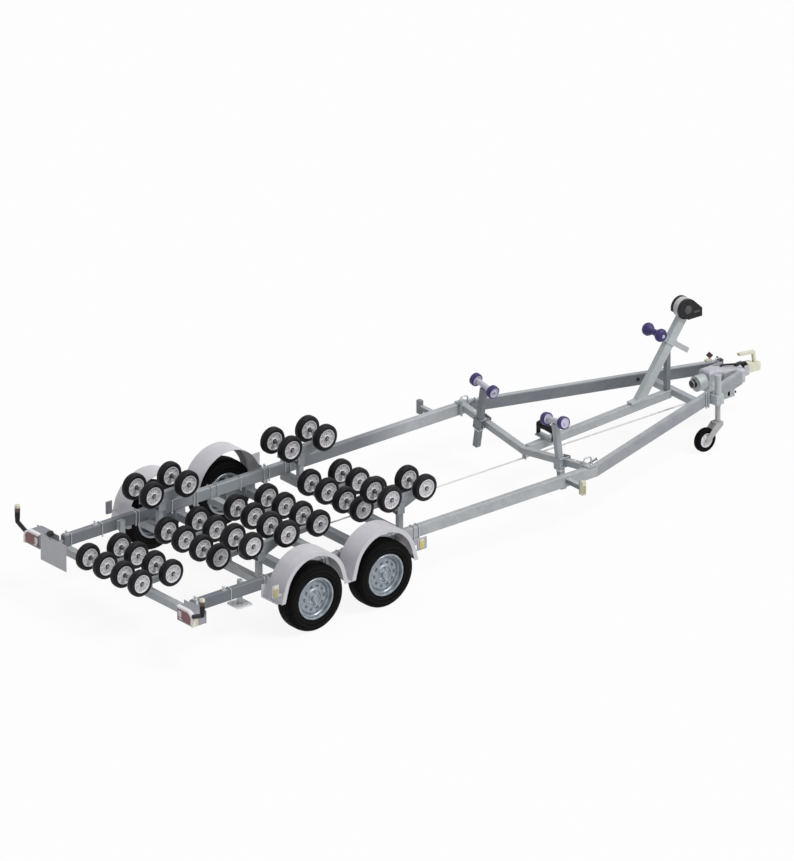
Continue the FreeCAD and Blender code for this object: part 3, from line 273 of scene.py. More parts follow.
# Painted shade in the rims' hand holes.
rim_hole_painted_shade = surface("rim_hole_painted_shade", (0.13, 0.145, 0.17), 0.6, mottle=0.2, mottle_size=20)
tyre_rubber = surface("tyre_rubber", (0.0022, 0.0022, 0.0026), 0.65, mottle=0.3, grain=0.2,
                      dirt=(0.006, 0.006, 0.005), dirt_amount=0.4, specular=0.06)
# Near-black for the tyre's shoulder cuts, and painted shade in the coupling's slots.
tyre_groove_and_slot_shade = surface("tyre_groove_and_slot_shade", (0.002, 0.002, 0.002), 0.9, mottle=0.2, specular=0.05)
tyre_band = surface("tyre_band", (0.007, 0.0075, 0.0095), mottle=0.2, specular=0.12)
roller_rubber = surface("roller_rubber", (0.005, 0.005, 0.0065), mottle=0.25, mottle_size=25, grain=0.25,
                        specular=0.16)
roller_wall = surface("roller_wall", (0.009, 0.009, 0.012), mottle=0.25, mottle_size=25, specular=0.2)
# Grey of the roller hubs' recess and ribs, darker than the ring as painted shade in the recess; also the jockey
# wheel's spokes.
hub_grey_and_recess_shade = surface("hub_grey_and_recess_shade", (0.60, 0.59, 0.605), 0.45, mottle=0.08, mottle_size=18)
hub_ring = surface("hub_ring", (0.76, 0.75, 0.77), 0.4, mottle=0.05, mottle_size=25)
hub_boss = surface("hub_boss", (0.10, 0.10, 0.11), mottle=0.2, mottle_size=10)
# Painted shade in the gaps between the roller hubs' ribs.
hub_gap_painted_shade = surface("hub_gap_painted_shade", (0.17, 0.165, 0.18), mottle=0.15, mottle_size=10)
blue_rubber = surface("blue_rubber", (0.027, 0.018, 0.118), 0.45, mottle=0.15, mottle_size=25)
blue_face = surface("blue_face", (0.56, 0.53, 0.68), mottle_size=20)
black_plastic = surface("black_plastic", (0.010, 0.010, 0.012), 0.45, mottle=0.2, specular=0.25)
grey_drum = surface("grey_drum", (0.55, 0.55, 0.54), 0.45)
grey_band = surface("grey_band", (0.06, 0.06, 0.066), 0.45, mottle=0.15)
cream_paint = surface("cream_paint", (0.72, 0.71, 0.54), 0.4, mottle=0.08, coat=0.2)
warm_tube = surface("warm_tube", (0.42, 0.40, 0.405), 0.5, 0.1, mottle=0.1, mottle_size=40)
housing_paint = surface("housing_paint", (0.49, 0.49, 0.53), 0.5, 0.1, mottle_size=40)
lamp_red = surface("lamp_red", (0.13, 0.006, 0.012), 0.25, mottle=0.25, mottle_size=12, coat=0.5)
lamp_rose = surface("lamp_rose", (0.24, 0.02, 0.035), 0.3, mottle=0.25, mottle_size=10, coat=0.5)
lamp_amber = surface("lamp_amber", (0.66, 0.54, 0.27), 0.3, mottle=0.18, mottle_size=14, coat=0.5)
lens_cream = surface("lens_cream", (0.64, 0.61, 0.46), 0.35, mottle_size=14, coat=0.3)
lens_khaki = surface("lens_khaki", (0.42, 0.36, 0.16), 0.35, mottle=0.2, mottle_size=12, coat=0.3)
lens_yellow = surface("lens_yellow", (0.56, 0.52, 0.14), 0.3, mottle=0.2, mottle_size=12, coat=0.4)
reflector_back = surface("reflector_back", (0.42, 0.385, 0.45))
# Pale patches on the rear lamps' red lens: painted highlight.
lamp_painted_highlight = surface("lamp_painted_highlight", (0.62, 0.55, 0.56), 0.25, mottle=0.15, mottle_size=10, coat=0.5)
lamp_rim = surface("lamp_rim", (0.80, 0.76, 0.79), 0.4, mottle=0.05, mottle_size=20)
lamp_case = surface("lamp_case", (0.235, 0.235, 0.265), mottle=0.1, mottle_size=20)
lamp_body = surface("lamp_body", (0.33, 0.31, 0.36), mottle=0.08, mottle_size=20)
marker_red = surface("marker_red", (0.075, 0.02, 0.014), 0.3, mottle=0.2, mottle_size=14, coat=0.5)
blank_plate = surface("blank_plate", (0.47, 0.47, 0.485), mottle=0.02, mottle_size=60)


# ================ mesh building
SHARP_ANGLE = 32
ROUNDING = {"profile": 0.5, "affect": "EDGES", "clamp_overlap": True}


class Shape:
    """Solids gathered in one mesh, in millimetres about a place that is given at the end."""

    def __init__(self):
        self.bm = bmesh.new()
        self.materials = []

    def paint(self, faces, material):
        if material not in self.materials:
            self.materials.append(material)
        for face in faces:
            face.material_index = self.materials.index(material)

    def lathe(self, profile, material, middle=(0, 0, 0), axis=(0, 1, 0), steps=40, angles=None):
        """A closed (radius, along) profile turned about an axis; a list of materials paints each stretch."""
        axis = Vector(axis).normalized()
        first = axis.orthogonal().normalized()
        second = axis.cross(first)
        angles = angles or [math.tau * i / steps for i in range(steps)]
        steps = len(angles)
        rings = self.rings = []
        for radius, along in profile:
            centre = Vector(middle) + axis * along
            if radius < 1e-6:
                rings.append([self.bm.verts.new(centre)])
                continue
            rings.append([self.bm.verts.new(centre + (first * math.cos(a) + second * math.sin(a)) * radius)
                          for a in angles])
        bands = []
        for lower, upper in zip(rings, rings[1:]):
            faces = []
            for i in range(steps):
                corners = [lower[i % len(lower)], lower[(i + 1) % len(lower)],
                           upper[(i + 1) % len(upper)], upper[i % len(upper)]]
                corners = list(dict.fromkeys(corners))
                if len(corners) > 2:
                    faces.append(self.bm.faces.new(corners))
            bands.append(faces)
        for i, faces in enumerate(bands):
            self.paint(faces, material[i] if isinstance(material, list) else material)
        return bands

    def ring(self, profile, material, **places):
        """A lathe whose profile closes on itself, as a tyre's does."""
        return self.lathe(list(profile) + [profile[0]], material, **places)

    def rod(self, start, end, radius, material, bevel=1.0, steps=20):
        """A round bar with its end edges cut."""
        start, end = Vector(start), Vector(end)
        length = (end - start).length
        bevel = min(bevel, radius / 3, length / 3)
        profile = [(0, 0), (radius - bevel, 0), (radius, bevel), (radius, length - bevel),
                   (radius - bevel, length), (0, length)]
        return self.lathe(profile, material, start, end - start, steps)

    def wire(self, points, radius, material, steps=12):
        """A round bar through points, with a ball at each bend."""
        for start, end in zip(points, points[1:]):
            self.rod(start, end, radius, material, steps=steps)
        ball = [(radius * math.sin(math.pi * i / 6), -radius * math.cos(math.pi * i / 6)) for i in range(7)]
        for point in points[1:-1]:
            self.lathe(ball, material, point, UP, steps)

    def prism(self, outline, along, material, bevel=0.0, segments=2):
        """A flat outline of corners pushed along a vector, with its edges rounded."""
        along = Vector(along)
        bottom = [self.bm.verts.new(Vector(p)) for p in outline]
        top = [self.bm.verts.new(Vector(p) + along) for p in outline]
        faces = [self.bm.faces.new(bottom), self.bm.faces.new(list(reversed(top)))]
        count = len(outline)
        for i in range(count):
            j = (i + 1) % count
            faces.append(self.bm.faces.new([bottom[i], top[i], top[j], bottom[j]]))
        bmesh.ops.recalc_face_normals(self.bm, faces=faces)
        self.paint(faces, material)
        if bevel:
            edges = dict.fromkeys(edge for face in faces for edge in face.edges)
            edges = [edge for edge in edges if edge.calc_face_angle(0) > math.radians(20)]
            bmesh.ops.bevel(self.bm, geom=edges, offset=bevel, segments=segments, material=-1, **ROUNDING)

    def box(self, middle, sizes, material, bevel=1.5, segments=2):
        """A block about its middle."""
        x, y, z = middle
        dx, dy, dz = (s / 2 for s in sizes)
        outline = [(x + i * dx, y + j * dy, z - dz) for i, j in SQUARE]
        self.prism(outline, (0, 0, 2 * dz), material, bevel, segments)

    def span(self, x_range, y_range, z_range, material, bevel=1.5, segments=2):
        """A block between two places on each axis."""
        ranges = (x_range, y_range, z_range)
        self.box([sum(r) / 2 for r in ranges], [abs(r[1] - r[0]) for r in ranges], material, bevel, segments)

    def bar(self, base, angle, start, end, half_width, depth, material):
        """A flat bar at an angle about Y, from start to end out of a base."""
        out = Vector((math.cos(angle), 0, math.sin(angle)))
        across = Vector((-out.z, 0, out.x)) * half_width
        corners = [base + out * start - across, base + out * end - across, base + out * end + across,
                   base + out * start + across]
        self.prism(corners, (0, depth, 0), material)

    def bolt(self, seat, direction, size, material=zinc_bolt):
        """Washer, six-sided head and a rounded top, standing on a seat."""
        direction = Vector(direction).normalized()
        seat = Vector(seat)
        self.lathe([(0, 0), (1.9 * size, 0), (1.9 * size, 0.3 * size), (0, 0.3 * size)], material, seat,
                   direction, 20)
        self.lathe([(0, 0.3 * size), (1.15 * size, 0.3 * size), (1.15 * size, 1.1 * size),
                    (0.9 * size, 1.35 * size), (0, 1.35 * size)], material, seat, direction, 6)

    def place(self, name, body, *replaced, at=ORIGIN, slot="galvanised", sharp=SHARP_ANGLE):
        """Makes the gathered solids one piece of the scene."""
        bmesh.ops.recalc_face_normals(self.bm, faces=self.bm.faces)
        bmesh.ops.scale(self.bm, vec=(MM, MM, MM), verts=self.bm.verts)
        mesh = bpy.data.meshes.new(name)
        self.bm.to_mesh(mesh)
        self.bm.free()
        for material in self.materials:
            mesh.materials.append(material)
        mesh.shade_smooth()
        mesh.set_sharp_from_angle(angle=math.radians(sharp))
        return put_mesh(name, mesh, body, *replaced, at=at, slot=slot)


def put_mesh(name, mesh, body, *replaced, at=ORIGIN, slot="galvanised", turn=None):
    """A piece of the scene that rides on a body and stands for the CAD nodes it replaces."""
    piece = bpy.data.objects.new(name, mesh)
    piece.location = at
    if turn:
        piece.rotation_euler = turn
    bpy.context.scene.collection.objects.link(piece)
    normals = piece.modifiers.new("normals", "WEIGHTED_NORMAL")
    normals.keep_sharp = True
    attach(piece, body)
    if replaced:
        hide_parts(*replaced)
    return piece


def rounded(node, width, material, slot="galvanised", segments=2, angle=28, others=(), cut_z=None, soft=None):
    """The node's own shape with its edges rounded.

    `others` are more materials, each with the test for the places it covers, `cut_z` a height to part
    faces at, and `soft` a test for edges that get a wide round first, with its width.
    """
    bm = bmesh.new()
    bm.from_mesh(frame["nodes"][node].data)
    bmesh.ops.remove_doubles(bm, verts=bm.verts, dist=0.01 * MM)
    bmesh.ops.dissolve_limit(bm, angle_limit=math.radians(0.5), verts=bm.verts, edges=bm.edges)
    if soft:
        wide = [edge for edge in bm.edges if edge.calc_face_angle(0) > math.radians(angle)
                and all(soft[0]((vert.co - ORIGIN) / MM) for vert in edge.verts)]
        bmesh.ops.bevel(bm, geom=wide, offset=soft[1] * MM, segments=5, **ROUNDING)
    if cut_z:
        bmesh.ops.bisect_plane(bm, geom=bm.verts[:] + bm.edges[:] + bm.faces[:], plane_co=(0, 0, cut_z * MM),
                               plane_no=UP)
    edges = [edge for edge in bm.edges if len(edge.link_faces) == 2
             and edge.calc_face_angle(0) > math.radians(angle)]
    bmesh.ops.bevel(bm, geom=edges, offset=width * MM, segments=segments, loop_slide=True, **ROUNDING)
    mesh = bpy.data.meshes.new(node + "_form")
    bm.to_mesh(mesh)
    bm.free()
    mesh.materials.append(material)
    for index, (coat, covers) in enumerate(others, 1):
        mesh.materials.append(coat)
        for face in mesh.polygons:
            if covers((face.center - ORIGIN) / MM):
                face.material_index = index
    mesh.shade_smooth()
    mesh.set_sharp_from_angle(angle=math.radians(SHARP_ANGLE))
    return put_mesh(node + "_form", mesh, BODY_OF[node], node, at=(0, 0, 0), slot=slot)


BODY_OF = {node: body for body, nodes in frame["record"]["behaviour"]["bodies"].items() for node in nodes}
ROOT = BODY_OF["main_beam_left"]


def other_half(profile):
    """The mirror image of a (radius, along) profile, in the order that goes on from its end."""
    return [(radius, -along) for radius, along in reversed(profile)]


# ================ wheels
def tyre_piece():
    """Tyre with three round grooves, narrow cuts in its shoulders and rings on the walls."""
    low, high = extent("tyre_rear_left")
    radius = (high.z - low.z) / 2
    half = (high.y - low.y) / 2
    wall = [(186, -76), (198, -77), (203, -87), (211, -90.5), (219, -91), (223, -94), (227, -94.5),
            (231, -93.5), (0.765 * radius, -half), (0.815 * radius, -half), (0.83 * radius, -0.975 * half),
            (0.875 * radius, -0.955 * half)]
    raised_rings = (5, 9)
    shoulder = [(0.915 * radius, -0.915 * half), (0.945 * radius, -0.86 * half), (0.967 * radius, -0.78 * half),
                (0.982 * radius, -0.68 * half), (0.991 * radius, -0.56 * half)]
    groove_depth, groove_top, groove_floor = 7, 4.5, 3
    tread = []
    for middle in (-0.36 * half, 0.0):
        tread += [(radius - 0.5, middle - groove_top), (radius - groove_depth, middle - groove_floor)]
        if middle:
            tread += [(radius - groove_depth, middle + groove_floor), (radius - 0.2, middle + groove_top)]
    left = wall + shoulder + tread
    blocks, cut_depth, cut_edges = 66, 4, (0.0, 0.035, 0.115, 0.15)
    angles = [math.tau / blocks * (i + part) for i in range(blocks) for part in cut_edges]
    shape = Shape()
    bands = shape.ring(left + other_half(left), tyre_rubber, angles=angles)
    count = 2 * len(left)
    for number in range(count):
        mirrored = min(number, count - 1 - number)
        if len(wall) <= mirrored <= len(wall) + len(shoulder) - 1:
            for i, vert in enumerate(shape.rings[number].copy()):
                if i % 4 in (1, 2):
                    vert.co.x *= 1 - cut_depth / radius
                    vert.co.z *= 1 - cut_depth / radius
    for number, faces in enumerate(bands):
        mirrored = min(number, count - 2 - number)
        if len(wall) <= mirrored < len(wall) + len(shoulder):
            shape.paint(faces[1::4], tyre_groove_and_slot_shade)
        if mirrored in raised_rings:
            shape.paint(faces, tyre_band)
    return shape


def rim_piece():
    """Dished steel wheel with hand holes, raised ring, nuts and cap, outer side towards +Y."""
    shape = Shape()
    profile = [(176, -86), (194, -86), (196, -84), (196, -79), (190, -76), (183, -74), (183, -40),
               (160, -30), (160, 20), (183, 40), (183, 74), (190, 76), (196, 79), (197, 84), (194, 88),
               (187, 88), (180, 84), (177, 74), (176, 50), (170, 42)]
    face = [(164, 40), (155, 42), (146, 48), (136, 53), (124, 55), (122, 55.4), (100, 55.4), (97, 56), (90, 60),
            (84, 65.5), (76, 66.5), (72, 65), (66, 55), (62, 53), (40, 53), (36, 55), (32, 58)]
    back = [(32, 40), (60, 40), (90, 46), (124, 44), (150, 36), (164, 30), (172, 20), (176, -10), (176, -86)]
    steps, holes, hole_steps, hole_depth, hole_stretch = 80, 10, 4, 6, 5
    bands = shape.lathe(profile + face + back, rim_paint_and_painted_reflection, steps=steps)
    hole_band = bands[len(profile) + hole_stretch]
    # Hand holes: each hole's faces are pushed in and painted dark, painted shade for the opening.
    for hole in range(holes):
        group = [hole_band[hole * steps // holes + i] for i in range(hole_steps)]
        inset = bmesh.ops.inset_region(shape.bm, faces=group, thickness=3, depth=0)
        moved = {vert for face in group for vert in face.verts}
        for vert in moved:
            vert.co.y -= hole_depth
        shape.paint(group, rim_hole_painted_shade)
        shape.paint(inset["faces"], rim_paint_and_painted_reflection)
    cap = [(0, 50), (33, 50), (33, 70), (31, 76), (24, 80), (10, 81.5), (0, 82)]
    shape.lathe(cap, rim_paint_and_painted_reflection, steps=32)
    nut = [(0, 0), (11, 0), (11, 4), (8.5, 6), (8.5, 13), (6, 15), (0, 15.5)]
    nuts, nut_circle, nut_seat = 5, 56, 52
    # Nuts round the hub; the two lower ones carry a painted glint.
    for i in range(nuts):
        angle = math.tau * (i + 0.5) / nuts
        seat = (nut_circle * math.cos(angle), nut_seat, nut_circle * math.sin(angle))
        shape.lathe(nut, rim_bright if i > 2 else rim_paint_and_painted_reflection, seat, (0, 1, 0), 12)
    # Valve stem, and the brake drum behind the disc.
    shape.rod((150, 58, 100), (142, 74, 96), 3.5, black_plastic, steps=10)
    shape.lathe([(0, -62), (118, -62), (118, 0), (112, 10), (0, 12)], dull_steel, steps=40)
    return shape


def road_wheels():
    """The four wheels share one tyre and one rim; those on the right are turned round."""
    middle = middle_of("tyre_rear_left")
    tyre = tyre_piece().place("tyre_rear_left_form", "wheel_rear_left", "tyre_rear_left", at=middle,
                              slot="tyre", sharp=40)
    rim = rim_piece().place("rim_rear_left_form", "wheel_rear_left", "rim_rear_left", at=middle, slot="rim")
    for name in ("rear_right", "front_left", "front_right"):
        turn = (0, 0, math.pi) if name.endswith("right") else None
        middle = middle_of(f"tyre_{name}")
        for kind, mesh in (("tyre", tyre.data), ("rim", rim.data)):
            put_mesh(f"{kind}_{name}_form", mesh, f"wheel_{name}", f"{kind}_{name}", at=middle, slot=kind,
                     turn=turn)


# ================ rollers
def add_roller(shape, y, radius, half):
    """Rubber roller with a ribbed pale hub, its axle along Y."""
    tread = [(84, 4 - half), (86, 1 - half), (89, -half), (103, -half), (0.885 * radius, 1 - half),
             (0.94 * radius, 5 - half), (0.975 * radius, 10 - half), (0.995 * radius, 16 - half),
             (radius, 24 - half)]
    paint = [roller_wall] * 5 + [roller_rubber] * 7
    tread += other_half(tread)
    shape.ring(tread, paint + paint[4::-1] + [roller_rubber], middle=(0, y, 0), steps=48)
    face = [(84.5, half - 6), (84, half - 2.5), (81, half - 1.5), (76, half - 3.5), (74, half - 11),
            (33, half - 12), (30, half - 7), (26, half - 4), (24, half - 4), (22, half - 9), (13, half - 9),
            (12.5, half + 4), (8, half + 6), (0, half + 6)]
    # The recess floor is a darker grey than the ring and boss: painted shade in the recess.
    paint = [hub_ring] * 4 + [hub_grey_and_recess_shade] * 2 + [hub_ring] * 2 + [hub_boss] * 3 + [dull_steel] * 2
    shape.lathe(other_half(face) + face, paint[::-1] + [hub_ring] + paint, (0, y, 0), steps=40)
    # Ribs across the hub's face, with a dark pocket of painted shade between each two.
    rib = (31, 75, 2.6, 5, hub_grey_and_recess_shade)
    pocket = (56, 69, 3.4, 1.2, hub_gap_painted_shade)
    bars = 16
    for side in (-1, 1):
        base = Vector((0, y + side * (half - 12.3), 0))
        for i in range(bars):
            start, end, half_width, depth, material = pocket if i % 2 else rib
            shape.bar(base, math.tau * i / bars, start, end, half_width, side * depth, material)


def roller_row(node, middles, reach):
    """Rollers on their axles, with a sleeve from each roller to the rocking channel between."""
    hub_past, axle_radius, sleeve_radius, channel_half = 7, 11, 14, 25.3
    shape = Shape()
    low, high = extent(node)
    radius = (high.x - low.x) / 2
    half = (high.y - low.y) / 2 - hub_past - middles[-1]
    for y in middles:
        add_roller(shape, y, radius, half)
    for low_y, high_y in reach:
        shape.rod((0, low_y, 0), (0, high_y, 0), axle_radius, dull_steel, steps=16)
    for y in middles:
        for low_y, high_y in reach:
            if low_y < y < high_y:
                centre = (low_y + high_y) / 2
                edge = centre + math.copysign(channel_half, y - centre)
                shape.rod((0, min(edge, y), 0), (0, max(edge, y), 0), sleeve_radius, hub_boss, steps=20)
    return shape


def rollers():
    """All the rows share two meshes: four rollers in a cradle's row, two in a wing's."""
    layouts = {"cradle": ((-364.5, -121.5, 121.5, 364.5), ((-404, -82), (82, 404))),
               "wing": ((-124, 124), ((-163.5, 163.5),))}
    made = {}
    for node in sorted(frame["nodes"]):
        body = BODY_OF[node]
        if "_row_" not in body:
            continue
        kind = node.split("_")[0]
        middle = middle_of(node)
        if kind in made:
            put_mesh(node + "_form", made[kind], body, node, at=middle, slot="roller_rubber")
        else:
            row = roller_row(node, *layouts[kind])
            made[kind] = row.place(node + "_form", body, node, at=middle, slot="roller_rubber").data


# ================ frame, guards and fittings
BEND_X = 3440
BEAM_INNER_Y, BEAM_Y, BEAM_OUTER_Y = 871, 901, 931
BEAM_TOP = 520
HOUSING_HALF = 75


def plain_forms():
    """Pieces whose own shape is kept, with rounded edges and the tones of their parts; some tones are painted
    light and shade.
    """
    # The beams carry painted light and shade along their length, and darker drawbars ahead of the bend as
    # painted shade.
    rounded("main_beam_left", 9, far_zinc_painted_light_and_shade, segments=3, others=[(far_bar_painted_shade, lambda place: place.x > BEND_X)])
    rounded("main_beam_right", 9, beam_zinc_painted_shade, segments=3,
            others=[(near_bar_painted_shade, lambda place: place.x > BEND_X)])
    rounded("cross_tubes", 7, galvanised, segments=3, angle=20)
    rounded("centre_beam", 6, galvanised, others=[(pale_rod, lambda place: place.z < 306)])
    rounded("axles", 4, dull_steel)
    rounded("roller_stands", 2, galvanised,
            others=[(roller_wall, lambda place: place.x > 3000 and place.z > 480 and abs(place.y) > 95)])
    for node in sorted(frame["nodes"]):
        if node.endswith("_rocker"):
            rounded(node, 2.5, galvanised)
    for side in ("left", "right"):
        rounded(f"mudguard_{side}", 1.2, guard_paint, "mudguard")
    # The far post and the posts' lower ends are painted shade.
    rounded("bow_posts", 4, galvanised, others=[(post_painted_shade, lambda place: place.y > 0 or place.z < 330),
                                               (pale_axle, lambda place: place.z > 822)])
    rounded("winch_post", 5, post_zinc, others=[
        (strut_zinc, lambda place: 4990 < place.x < 5040 and abs(place.y) < 23.5 and place.z < 900)])
    rounded("stand_sleeves", 2, post_zinc)
    sleeve_z = 402
    rounded("jockey_tube", 3, post_zinc, cut_z=sleeve_z, others=[(warm_tube, lambda place: place.z < sleeve_z)])
    rounded("jockey_fork", 1.5, warm_tube)
    rounded("coupling_housing", 4, housing_paint,
            others=[(post_zinc, lambda place: place.z < 413 or place.x < 5444)],
            soft=(lambda place: abs(abs(place.y) - HOUSING_HALF) < 1 and place.z > 470, 34))
    rounded("coupling_head", 5, cream_paint, "coupling_paint")
    rounded("winch", 8, black_plastic, "black_plastic", segments=3)
    rounded("lamp_carriers", 1.5, galvanised)
    rounded("bow_stop_roller", 2, blue_rubber, "blue_rubber", angle=40)
    rounded("keel_roller", 4, roller_rubber, "roller_rubber")
    rounded("coupling_bellows", 1, black_plastic, "black_plastic", angle=60)


LAMP_INNER_Y = 961
LAMP_CORNER = 84


def lamp_outline(low, high, inset, side):
    """A rear lamp's rear face: square but for its round top outer corner."""
    corner = LAMP_CORNER - inset
    round_y, round_z = high.y - LAMP_CORNER, high.z - LAMP_CORNER
    points = [(LAMP_INNER_Y + inset, high.z - inset), (LAMP_INNER_Y + inset, low.z + inset),
              (high.y - inset, low.z + inset)]
    points += [(round_y + corner * math.cos(a), round_z + corner * math.sin(a))
               for a in [math.pi / 2 * i / 8 for i in range(9)]]
    return [(y * side, z) for y, z in points]


def rear_lamps():
    """Rear lamps: pale rim, dark red lens with pale patches of painted highlight and an amber corner, grey
    housing.
    """
    low, high = extent("rear_lamps")
    shape = Shape()
    for side in (-1, 1):
        outer, edge, inner = (lamp_outline(low, high, inset, side) for inset in (0, 2, 19))
        shape.prism([(low.x + 7, y, z) for y, z in edge], (high.x - low.x - 7, 0, 0), lamp_case, 3)
        shape.prism([(low.x + 2, y, z) for y, z in inner], (9, 0, 0), lamp_red, 2)
        band = [outer[0]] + outer[:2:-1] + [outer[2], inner[2]] + inner[3:] + [inner[0]]
        shape.prism([(low.x, y, z) for y, z in band], (38, 0, 0), lamp_rim)
        # Pale patches on the lens, a square and a triangle: painted highlight.
        shape.span((low.x + 1, low.x + 8), sided(side, LAMP_INNER_Y + 24, LAMP_INNER_Y + 68),
                   (low.z + 48, low.z + 104), lamp_painted_highlight, 4)
        patch = ((36, 22), (92, 22), (36, 58))
        shape.prism([(low.x + 0.8, side * (LAMP_INNER_Y + y), low.z + z) for y, z in patch], (7, 0, 0),
                    lamp_painted_highlight, 2)
        for i in range(3):
            y = high.y - 42 - 22 * i
            shape.span((low.x + 1.2, low.x + 8), sided(side, y, y - 12), (low.z + 20, low.z + 74 + 14 * i),
                       lamp_rose, 2)
        shape.span((low.x + 0.6, low.x + 72), sided(side, high.y - 30, high.y - 0.4),
                   (low.z + 0.6, low.z + 70), lamp_amber, 5)
        shape.span((low.x + 74, high.x - 4), sided(side, high.y - 8, high.y - 0.4),
                   (low.z + 8, low.z + 62), lamp_body, 3)
        for z in (low.z + 24, low.z + 92):
            shape.bolt((high.x + 4, (LAMP_INNER_Y + 60) * side, z), (1, 0, 0), 6)
    shape.place("rear_lamps_form", ROOT, "rear_lamps", slot="lamp")


def number_plate(shape):
    """Blank number plate with its lamp above."""
    x = extent("lamp_carriers")[0].x
    lamp_y = 816
    shape.span((x - 1, x + 5), about(773.5, 180), about(457.5, 128), blank_plate, 2.5)
    shape.lathe([(0, 0), (24, 0), (28, 5), (28, 40), (22, 48), (0, 50)], black_plastic, (x - 22, lamp_y, 624),
                (1, 0, 0), 20)
    shape.span((x - 3, x + 1), about(lamp_y, 16), (570, 612), dull_steel, 1)


def front_marker(shape, side):
    """Marker block on its arm: more grey back on the left one, more lens on the right one."""
    x, inner_y, outer_y = 3100, 1108, 1162
    body, body_reach = (strut_zinc, 46) if side > 0 else (lamp_body, 13)
    shape.span(about(x, 20.8), sided(side, inner_y, inner_y + body_reach), (409, 541), body, 4, 3)
    shape.span(about(x, 21.4), sided(side, inner_y + body_reach - 1, outer_y), (408.5, 541.5), lens_cream, 4, 3)
    shape.span(about(x, 18), sided(side, outer_y - 4, outer_y + 1.5), (424, 500), lens_khaki, 3, 2)
    arm = sided(side, BEAM_OUTER_Y - 2, 1109)
    shape.span(about(x, 20), arm, (450, 492), strut_zinc, 3)
    shape.span(about(x, 21), arm, (490, 496), post_zinc, 2)
    shape.bolt((x, 958 * side, 496), UP, 7)
    shape.bolt((x, 958 * side, 450), (0, 0, -1), 7)


def guard_fittings(shape, side):
    """Reflectors on a guard's marker plates, and the end plates that reach in to the beam."""
    low, high = extent("mudguard_left")
    rear_x, front_x = low.x + 37, high.x - 57
    face_y = 1168.5
    shape.span(about(rear_x, 26), sided(side, face_y, 1178), (434, 520), lens_khaki, 5, 3)
    shape.span(about(rear_x, 26), sided(side, face_y, 1177), (512, 545), lens_cream, 5, 3)
    shape.span(about(front_x, 52), sided(side, face_y, 1175), (424, 536), reflector_back, 6, 3)
    front_lens = (front_x - 30, front_x + 20)
    shape.span(front_lens, sided(side, 1172, 1182), (434, 510), lens_yellow, 6, 3)
    shape.span(front_lens, sided(side, 1172, 1181), (504, 528), lens_cream, 6, 3)
    shape.bolt((front_x + 40, side * 1175, 524), (0, side, 0), 6)
    # The rear reflector's back, on the inner side of its plate.
    shape.span(about(rear_x, 28), sided(side, 1157, 1165), (428, 547), lamp_case, 3)
    inner_y, width, thickness = side * (BEAM_OUTER_Y + 2), side * 52, 4
    foot_z, top_z, start_z, slope = 358, 535, 355, math.tan(math.radians(15))
    for end, past, sense in ((low.x, 83.5, -1), (high.x, 119.5, 1)):
        foot_x, top_x = (end - sense * (past + (z - start_z) * slope) for z in (foot_z, top_z))
        shape.prism([(foot_x, inner_y, foot_z), (foot_x - thickness * sense, inner_y, foot_z),
                     (top_x - thickness * sense, inner_y, top_z), (top_x, inner_y, top_z)],
                    (0, width, 0), guard_paint)


def light_fittings():
    """Plates, lenses and bolts that dress the plain plates and arms."""
    shape = Shape()
    number_plate(shape)
    for side in (-1, 1):
        front_marker(shape, side)
        guard_fittings(shape, side)
    shape.place("light_fittings", ROOT, slot="lamp")


def marker_arms():
    """Black rubber arms that bend up to a round marker with a dark red band and a pale amber top."""
    x = extent("marker_arms")[0].x + 26
    foot_y, foot_z, bend_y, bend_z = 1142, 505, 1295, 572
    stem = [(0, -14), (20, 0), (24, 52), (24.5, 104), (23, 109), (0, 109)]
    band = [(0, 100), (25.6, 100), (25.6, 136), (0, 136)]
    cap = [(0, 134), (25.4, 134), (24.5, 158), (19, 163), (0, 163)]
    shape = Shape()
    for side in (-1, 1):
        bend = (x, side * bend_y, bend_z)
        shape.wire([(x, side * foot_y, foot_z), bend, (x, side * bend_y, 600)], 20, black_plastic, 24)
        for profile, material in ((stem, black_plastic), (band, marker_red), (cap, lens_cream)):
            shape.lathe(profile, material, bend, UP, 28)
    shape.place("marker_arms_form", ROOT, "marker_arms", slot="black_plastic")


def bow_post(side):
    """A bow post's foot and top, its direction, and the direction of its rollers' axle."""
    foot, top = Vector((3314, side * 600, 219)), Vector((3314, side * 497, 815))
    along = (top - foot).normalized()
    return foot, top, along, along.cross(Vector((1, 0, 0)))


def beam_bolts(shape, side):
    """U-bolts over a beam with their nuts, and studs on top of it."""
    gap, foot_z, nut_z = 4, 396, 402
    inner_y, outer_y = BEAM_INNER_Y - gap, BEAM_OUTER_Y + gap
    over = ((inner_y, foot_z), (inner_y, BEAM_TOP), (inner_y + 7, BEAM_TOP + 6), (outer_y - 7, BEAM_TOP + 6),
            (outer_y, BEAM_TOP), (outer_y, foot_z))
    for x in (-1090, -738, -357, -322, 52, 300, 338, 500, 567, 833, 1096, 1157, 1340, 1396):
        shape.wire([(x, side * y, z) for y, z in over], 4.5, zinc_bolt, 8)
        for y in (inner_y, outer_y):
            shape.lathe([(0, 0), (9, 0), (9, 8), (0, 8)], zinc_bolt, (x, side * y, nut_z), UP, 6)
    for x in (-1121, -799, 1127):
        shape.rod((x, side * BEAM_Y, BEAM_TOP), (x, side * BEAM_Y, 560), 6, zinc_bolt)
        shape.bolt((x, side * BEAM_Y, 548), UP, 8)
        shape.span(about(x, 22), sided(side, *about(BEAM_Y, 21)), (BEAM_TOP + 1, BEAM_TOP + 7), zinc_bolt, 1)


